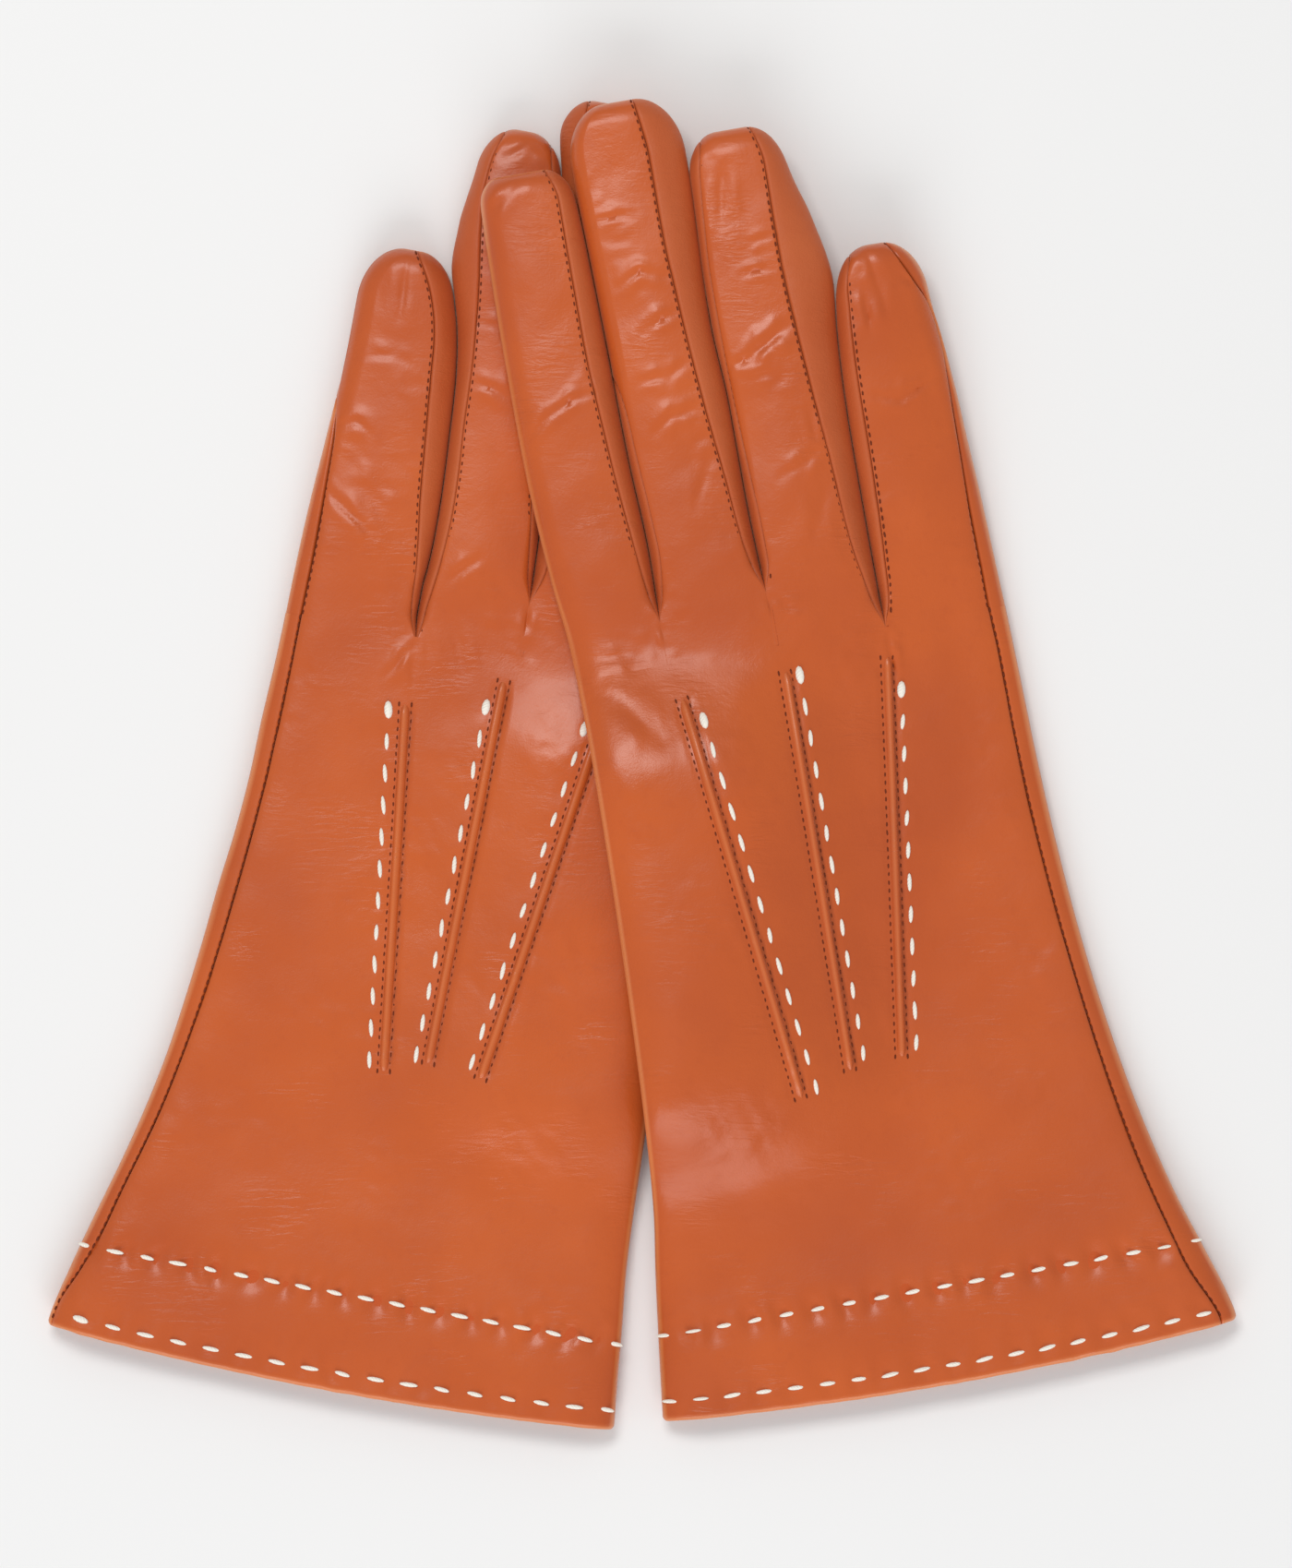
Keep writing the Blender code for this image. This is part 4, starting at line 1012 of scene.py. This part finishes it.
def build_white_threads(glove, tree, thread):
    points = [line_on_back(glove, *row, 0.14) for row in glove.rows]
    upper = [hem_path(glove, UPPER_ROW, UPPER_ROW, 1.2, 1.2)]
    lower = [hem_path(glove, LOWER_ROW - 0.5, LOWER_ROW - 1.6, 1.8, 6.6)]
    lower_knot = 1.5 if glove.side == "left" else 1.0
    for piece, paths, seed, turn, knot, nodes in (
        ("point_threads", points, 11, -0.06, 1.9, [f"{name}_point" for name in ("index", "middle", "ring")]),
        ("upper_hem_stitches", upper, 23, 0.06, 1.0, ["upper_hem"]),
        ("lower_hem_stitches", lower, 24, 0.06, lower_knot, ["lower_hem"]),
    ):
        sewn = sew(f"{glove.side}_{piece}", paths, tree, "stitch", thread, seed, turn * glove.mirror, knot)
        dress(sewn, glove, [f"{glove.side}_{node}_thread" for node in nodes], "white_thread")


def seam_path(glove, name, side):
    """The seam on one side of a finger's back, from its crotch to its tip."""
    finger = glove.fingers[name]
    along = finger_along(finger["tip"])
    number = SIDES.index(side)
    ring, _, angles = finger_ring(glove, name, along)
    crotch, angle = finger["crotches"][number], angles[number]
    columns = [ring.edge(side, angle)]
    across, rows, height = grid(columns, along)
    height = swollen(glove, ring, across, rows, height, height / ring.height[:, None], 1.0)
    level = glove.base(across, rows) + (HAND_HEIGHT - ring.height[:, None]) / 2
    first = FINGER_BASE + 0.6 if crotch is None else crotch + 3.0
    keep = (along > first) & (along < finger["tip"] - 0.6) & (angle > 8)
    return to_points(glove, across + 0.5 * INWARD[side], rows, height + 0.02, level)[keep, 0]


def build_machine_stitches(glove, tree, brown):
    paths = []
    for point in glove.points:
        sideways = along_and_across(point)[1]
        paths += [line_on_back(glove, *(np.array(point) + sideways * away), -0.02) for away in (-1.35, 1.25)]
    along = np.arange(CUFF_ALONG + 2, FINGER_BASE, 1.0)
    ring = hand_ring(glove, along)
    across, height = ring.edge("high", ring.seam_angle("high", glove.outer(along) - glove.seam(along)))
    paths.append(to_points(glove, across, along, height - 0.3, glove.base(across, along)))
    dress(sew(f"{glove.side}_hand_machine_stitches", paths, tree, "machine", brown, 5), glove, [], None)
    for name, finger in glove.fingers.items():
        paths = [seam_path(glove, name, side) for side in SIDES if finger[side + "_seam"] is not None]
        paths = [path for path in paths if len(path) > 4]
        sewn = sew(f"{glove.side}_{name}_machine_stitches", paths, tree, "machine", brown, 7)
        dress(sewn, glove, [], None, name)


# ---------------------------------------------------------------- finishes


def principled(name, colour, roughness):
    material = bpy.data.materials.new(name)
    material.use_nodes = True
    shader = material.node_tree.nodes["Principled BSDF"]
    shader.inputs["Base Color"].default_value = (*colour, 1.0)
    shader.inputs["Roughness"].default_value = roughness
    material.diffuse_color = (*colour, 1.0)
    return material, shader


def leather_material(name, colour, dark, light, roughness, grain, coat):
    """Cloudy dye, painted highlights on folds, edges and tips, painted shade in seams, grooves and
    fourchettes, fine lines, soft waves and grain under a thin glaze.
    """
    material, shader = principled(name, colour, roughness)
    pen = NodePen(material.node_tree)
    wear = pen.add("ShaderNodeAttribute", attribute_name="wear").outputs["Fac"]
    shade = pen.mix(colour, dark, pen.ramp(pen.noise(26.0, 3.0), 0.35, 0.72, 0.0, 0.75))
    shade = pen.mix(shade, dark, pen.ramp(pen.noise(420.0), 0.55, 0.8, 0.0, 0.22))
    # A painted highlight where the attribute is above 0
    shade = pen.mix(shade, light, pen.ramp(wear, 0.1, 1.0, 0.0, 0.85))
    # Painted shade where the attribute is below 0, in a dark brown
    shade = pen.mix(shade, tuple(c * 0.38 for c in dark), pen.ramp(wear, -1.0, -0.05, 0.9, 0.0))
    place = pen.add("ShaderNodeTexCoord").outputs["Object"]
    stretched = pen.add("ShaderNodeMapping", {"Vector": place, "Scale": (150.0, 760.0, 150.0)})
    lines = pen.noise(1.0, 3.0, distortion=0.8, place=stretched.outputs["Vector"])
    lines = pen.ramp(lines, 0.42, 0.62, 0.0, 1.0)
    normal = pen.bump(lines, pen.ramp(pen.noise(75.0, 1.0), 0.50, 0.70, 0.0, 0.6), 0.00012)
    normal = pen.bump(pen.noise(240.0, 4.0, 0.6), 0.45, 0.0003, Normal=normal)
    cells = pen.add("ShaderNodeTexVoronoi", {"Vector": place, "Scale": 1900.0}, feature="DISTANCE_TO_EDGE")
    pores = pen.math("MULTIPLY_ADD", cells.outputs["Distance"], 0.8, pen.noise(1500.0, 3.0, 0.6))
    pen.feed(shader, {
        "Base Color": shade,
        "Normal": pen.bump(pores, grain, 0.00006, Normal=normal),
        "Roughness": pen.ramp(pen.noise(60.0, 3.0), 0.3, 0.75, roughness - 0.06, roughness + 0.1),
        "Specular IOR Level": 0.30,
        "Sheen Weight": 0.22,
        "Sheen Roughness": 0.35,
        "Sheen Tint": (1.0, 0.58, 0.34, 1.0),
        "Coat Weight": coat,
        "Coat Roughness": 0.19,
    })
    return material


def thread_material(name, colour, roughness, ply):
    """Twisted thread: ply is how tightly it turns."""
    material, shader = principled(name, colour, roughness)
    pen = NodePen(material.node_tree)
    strand = pen.add("ShaderNodeAttribute", attribute_name="ply").outputs["Fac"]
    pen.feed(shader, {
        "Base Color": pen.mix(colour, tuple(c * 0.88 for c in colour), pen.noise(2600.0)),
        "Normal": pen.bump(pen.math("SINE", pen.math("MULTIPLY", strand, ply)), 0.45, 0.00008),
        "Specular IOR Level": 0.2,
    })
    return material


def finish_of(name):
    """The finish of that name, made once from the settings."""
    found = bpy.data.materials.get(name)
    if found:
        return found
    look = bpy.context.scene.glove_look
    # light is the colour of the painted rim highlight
    colour, dark, light = tuple(look.leather), tuple(look.leather_dark), tuple(look.leather_rim_highlight)
    if name == "glazed nappa":
        return leather_material(name, colour, dark, light, look.gloss_roughness, look.grain, look.glaze)
    if name == "gusset nappa":
        return leather_material(name, tuple(look.gusset), dark, light, look.gloss_roughness + 0.14,
                                min(1.0, look.grain * 2), 0.02)
    if name == "flesh side":
        pale = tuple(min(1.0, c * 1.25) for c in dark)
        return leather_material(name, pale, dark, colour, 0.85, 1.0, 0.0)
    if name == "white thread":
        return thread_material(name, tuple(look.thread), 0.6, 34.0)
    return thread_material("brown thread", tuple(look.seam_thread), 0.65, 20.0)


# ---------------------------------------------------------------- settings


def length_setting(name, description, default):
    return bpy.props.FloatProperty(
        name=name, description=description, default=default, min=0.0001, max=0.05, precision=5, unit="LENGTH")


def share_setting(name, description, default, largest=1.0):
    return bpy.props.FloatProperty(
        name=name, description=description, default=default, min=0.0, max=largest, subtype="FACTOR")


def colour_setting(name, description, default):
    return bpy.props.FloatVectorProperty(
        name=name, description=description, default=default, min=0.0, max=1.0, size=3, subtype="COLOR")


class GloveSizes(bpy.types.PropertyGroup):
    """Sizes of the leather, the points and the stitches."""

    leather: length_setting("Leather", "Thickness of the leather", 0.0007)
    point_width: length_setting("Point width", "Width of the tucks on the back", 0.0020)
    point_height: length_setting("Point height", "Height of the tucks on the back", 0.0006)
    finger_swell: length_setting("Finger swell", "How far the middle of a finger's back stands up", 0.0012)
    stitch_pitch: length_setting("Hand stitch pitch", "From one hand-sewn stitch to the next", 0.0066)
    stitch_length: length_setting("Hand stitch length", "Length of a hand-sewn stitch", 0.0037)
    stitch_width: length_setting("Hand stitch width", "Width of a hand-sewn stitch", 0.00095)
    stitch_height: length_setting("Hand stitch height", "Height of a hand-sewn stitch", 0.0007)
    machine_pitch: length_setting("Machine pitch", "From one machine stitch to the next", 0.0017)
    machine_length: length_setting("Machine stitch length", "Length of a machine stitch", 0.0012)
    machine_width: length_setting("Machine stitch width", "Width of a machine stitch", 0.0005)
    machine_height: length_setting("Machine stitch height", "Height of a machine stitch", 0.0004)
    crease_depth: share_setting("Creases", "Depth of the creases, as a share of their own", 1.0, 1.5)


class GloveLook(bpy.types.PropertyGroup):
    """Colours and finishes of the gloves."""

    leather: colour_setting("Leather", "Main colour of the glazed leather", (0.585, 0.110, 0.020))
    leather_dark: colour_setting("Leather, darker", "Colour where the dye took more", (0.470, 0.080, 0.018))
    # Colour of the painted highlight on folds, cut edges, fingertips and the points' ridges
    leather_rim_highlight: colour_setting("Leather, worn", "Colour on folds and cut edges", (0.800, 0.300, 0.110))
    gusset: colour_setting("Fourchettes", "Colour of the strips between the fingers", (0.540, 0.118, 0.034))
    thread: colour_setting("Hand-sewn thread", "Colour of the thick thread", (0.98, 0.93, 0.83))
    seam_thread: colour_setting("Seam thread", "Colour of the machine thread", (0.18, 0.031, 0.009))
    gloss_roughness: share_setting("Roughness", "Roughness of the glazed leather", 0.34)
    glaze: share_setting("Glaze", "Weight of the clear glaze", 0.17)
    grain: share_setting("Grain", "Strength of the leather's grain", 0.45)


# ---------------------------------------------------------------- operators


def both_gloves():
    left = Glove("left", "left_little_bend", "little", -1, LEFT_FINGERS, LEFT_HAND, LEFT_POINTS,
                 LEFT_POINT_ROWS, LEFT_CREASES, 40)
    right = Glove("right", "right_middle_bend", "middle", 1, RIGHT_FINGERS, RIGHT_HAND, RIGHT_POINTS,
                  RIGHT_POINT_ROWS, RIGHT_CREASES, 20, under=left)
    return left, right


class GLOVES_OT_hands(bpy.types.Operator):
    """Build the back and palm of each hand"""

    bl_idname = "gloves.hands"
    bl_label = "Hands"

    def execute(self, context):
        for glove in both_gloves():
            build_hand(glove, finish_of("glazed nappa"))
        return {"FINISHED"}


class GLOVES_OT_hems(bpy.types.Operator):
    """Build the leather turned up inside each cuff"""

    bl_idname = "gloves.hems"
    bl_label = "Hem facings"

    def execute(self, context):
        for glove in both_gloves():
            build_facing(glove, finish_of("flesh side"))
        return {"FINISHED"}


class GLOVES_OT_fingers(bpy.types.Operator):
    """Build the finger tongues and the fourchettes between them"""

    bl_idname = "gloves.fingers"
    bl_label = "Fingers"

    def execute(self, context):
        for glove in both_gloves():
            for name in glove.fingers:
                build_finger(glove, name, finish_of("glazed nappa"), finish_of("gusset nappa"))
        return {"FINISHED"}


class GLOVES_OT_thumbs(bpy.types.Operator):
    """Build the thumbs folded under the palms"""

    bl_idname = "gloves.thumbs"
    bl_label = "Thumbs"

    def execute(self, context):
        for glove in both_gloves():
            build_thumb(glove, finish_of("glazed nappa"))
        return {"FINISHED"}


class GLOVES_OT_points(bpy.types.Operator):
    """Raise the three points on the back of each hand"""

    bl_idname = "gloves.points"
    bl_label = "Points"

    def execute(self, context):
        for glove in both_gloves():
            build_welts(glove, finish_of("glazed nappa"))
        return {"FINISHED"}


class GLOVES_OT_white_threads(bpy.types.Operator):
    """Sew the thick running threads by hand"""

    bl_idname = "gloves.white_threads"
    bl_label = "Hand-sewn threads"

    def execute(self, context):
        tree = stitch_tree("Hand stitches", True)
        for glove in both_gloves():
            build_white_threads(glove, tree, finish_of("white thread"))
        return {"FINISHED"}


class GLOVES_OT_machine_stitches(bpy.types.Operator):
    """Sew the brown machine stitches of the seams and points"""

    bl_idname = "gloves.machine_stitches"
    bl_label = "Machine stitches"

    def execute(self, context):
        tree = stitch_tree("Machine stitches", False)
        for glove in both_gloves():
            build_machine_stitches(glove, tree, finish_of("brown thread"))
        return {"FINISHED"}


class GLOVES_OT_stage(bpy.types.Operator):
    """Set the table, the light and the camera"""

    bl_idname = "gloves.stage"
    bl_label = "Stage"

    def execute(self, context):
        build_stage(context.scene)
        return {"FINISHED"}


OPERATORS = (
    GLOVES_OT_hands,
    GLOVES_OT_hems,
    GLOVES_OT_fingers,
    GLOVES_OT_thumbs,
    GLOVES_OT_points,
    GLOVES_OT_white_threads,
    GLOVES_OT_machine_stitches,
    GLOVES_OT_stage,
)


class GLOVES_PT_panel(bpy.types.Panel):
    """Lists the steps that build the gloves"""

    bl_label = "Gloves"
    bl_idname = "GLOVES_PT_panel"
    bl_space_type = "VIEW_3D"
    bl_region_type = "UI"
    bl_category = "Gloves"

    def draw(self, context):
        for settings in (context.scene.glove_sizes, context.scene.glove_look):
            for label in type(settings).__annotations__:
                self.layout.prop(settings, label)
        for operator in OPERATORS:
            self.layout.operator(operator.bl_idname)


# ---------------------------------------------------------------- stage

FRAME_HEIGHT = 0.3245  # of what the camera sees at the gloves, in metres
LENS = 150.0
SENSOR = 36.0
LOOK_AT = (0.00095, -0.00384, 0.010)
TABLE_HALF = 3.0
TABLE_LEVEL = -0.0002  # just under the gloves
TABLE_COLOUR = (0.88, 0.88, 0.88)
SKY_STRENGTH = 0.46
# Area lights that aim at the middle of the table: size, place, watts and colour
LIGHTS = {
    "window": ((0.55, 0.35), (-0.20, 0.52, 1.15), 6.4, (1.0, 0.99, 0.97)),
    "fill": ((1.6, 0.9), (-0.05, -1.4, 0.85), 13.6, (0.98, 0.99, 1.0)),
}


def build_stage(scene):
    material, shader = principled("table", TABLE_COLOUR, 0.9)
    shader.inputs["Specular IOR Level"].default_value = 0.1
    corners = [(x * TABLE_HALF, y * TABLE_HALF, TABLE_LEVEL) for x, y in ((-1, -1), (1, -1), (1, 1), (-1, 1))]
    make_object("table_top", corners, [(0, 1, 2, 3)], material)
    world = bpy.data.worlds.new("studio")
    world.use_nodes = True
    background = world.node_tree.nodes["Background"]
    background.inputs["Color"].default_value = (1.0, 1.0, 1.0, 1.0)
    background.inputs["Strength"].default_value = SKY_STRENGTH
    scene.world = world
    scene.view_settings.view_transform = "Standard"
    for name, (area, place, watts, colour) in LIGHTS.items():
        data = bpy.data.lights.new(name, "AREA")
        data.shape = "RECTANGLE"
        data.size, data.size_y = area
        data.energy, data.color = watts, colour
        light = bpy.data.objects.new(name, data)
        light.location = place
        light.rotation_euler = (-Vector(place)).to_track_quat("-Z", "Y").to_euler()
        scene.collection.objects.link(light)
    data = bpy.data.cameras.new("camera")
    data.lens, data.sensor_width = LENS, SENSOR
    data.clip_start, data.clip_end = 0.05, 20.0
    camera = bpy.data.objects.new("camera", data)
    camera.location = Vector(LOOK_AT) + Vector((0, 0, FRAME_HEIGHT * LENS / SENSOR))
    scene.collection.objects.link(camera)
    scene.camera = camera


# ---------------------------------------------------------------- registration

CLASSES = (GloveSizes, GloveLook, *OPERATORS, GLOVES_PT_panel)


def register():
    for cls in CLASSES:
        bpy.utils.register_class(cls)
    bpy.types.Scene.glove_sizes = bpy.props.PointerProperty(type=GloveSizes)
    bpy.types.Scene.glove_look = bpy.props.PointerProperty(type=GloveLook)


def unregister():
    del bpy.types.Scene.glove_look
    del bpy.types.Scene.glove_sizes
    for cls in reversed(CLASSES):
        bpy.utils.unregister_class(cls)


def clear_start_scene():
    """Removes what a new file holds, and leaves the frame."""
    for obj in list(bpy.data.objects):
        if obj.type in {"LIGHT", "CAMERA"} or obj.name == "Cube":
            bpy.data.objects.remove(obj, do_unlink=True)


def main():
    clear_start_scene()
    register()
    for operator in OPERATORS:
        group, name = operator.bl_idname.split(".")
        getattr(getattr(bpy.ops, group), name)()


if __name__ == "__main__":
    main()
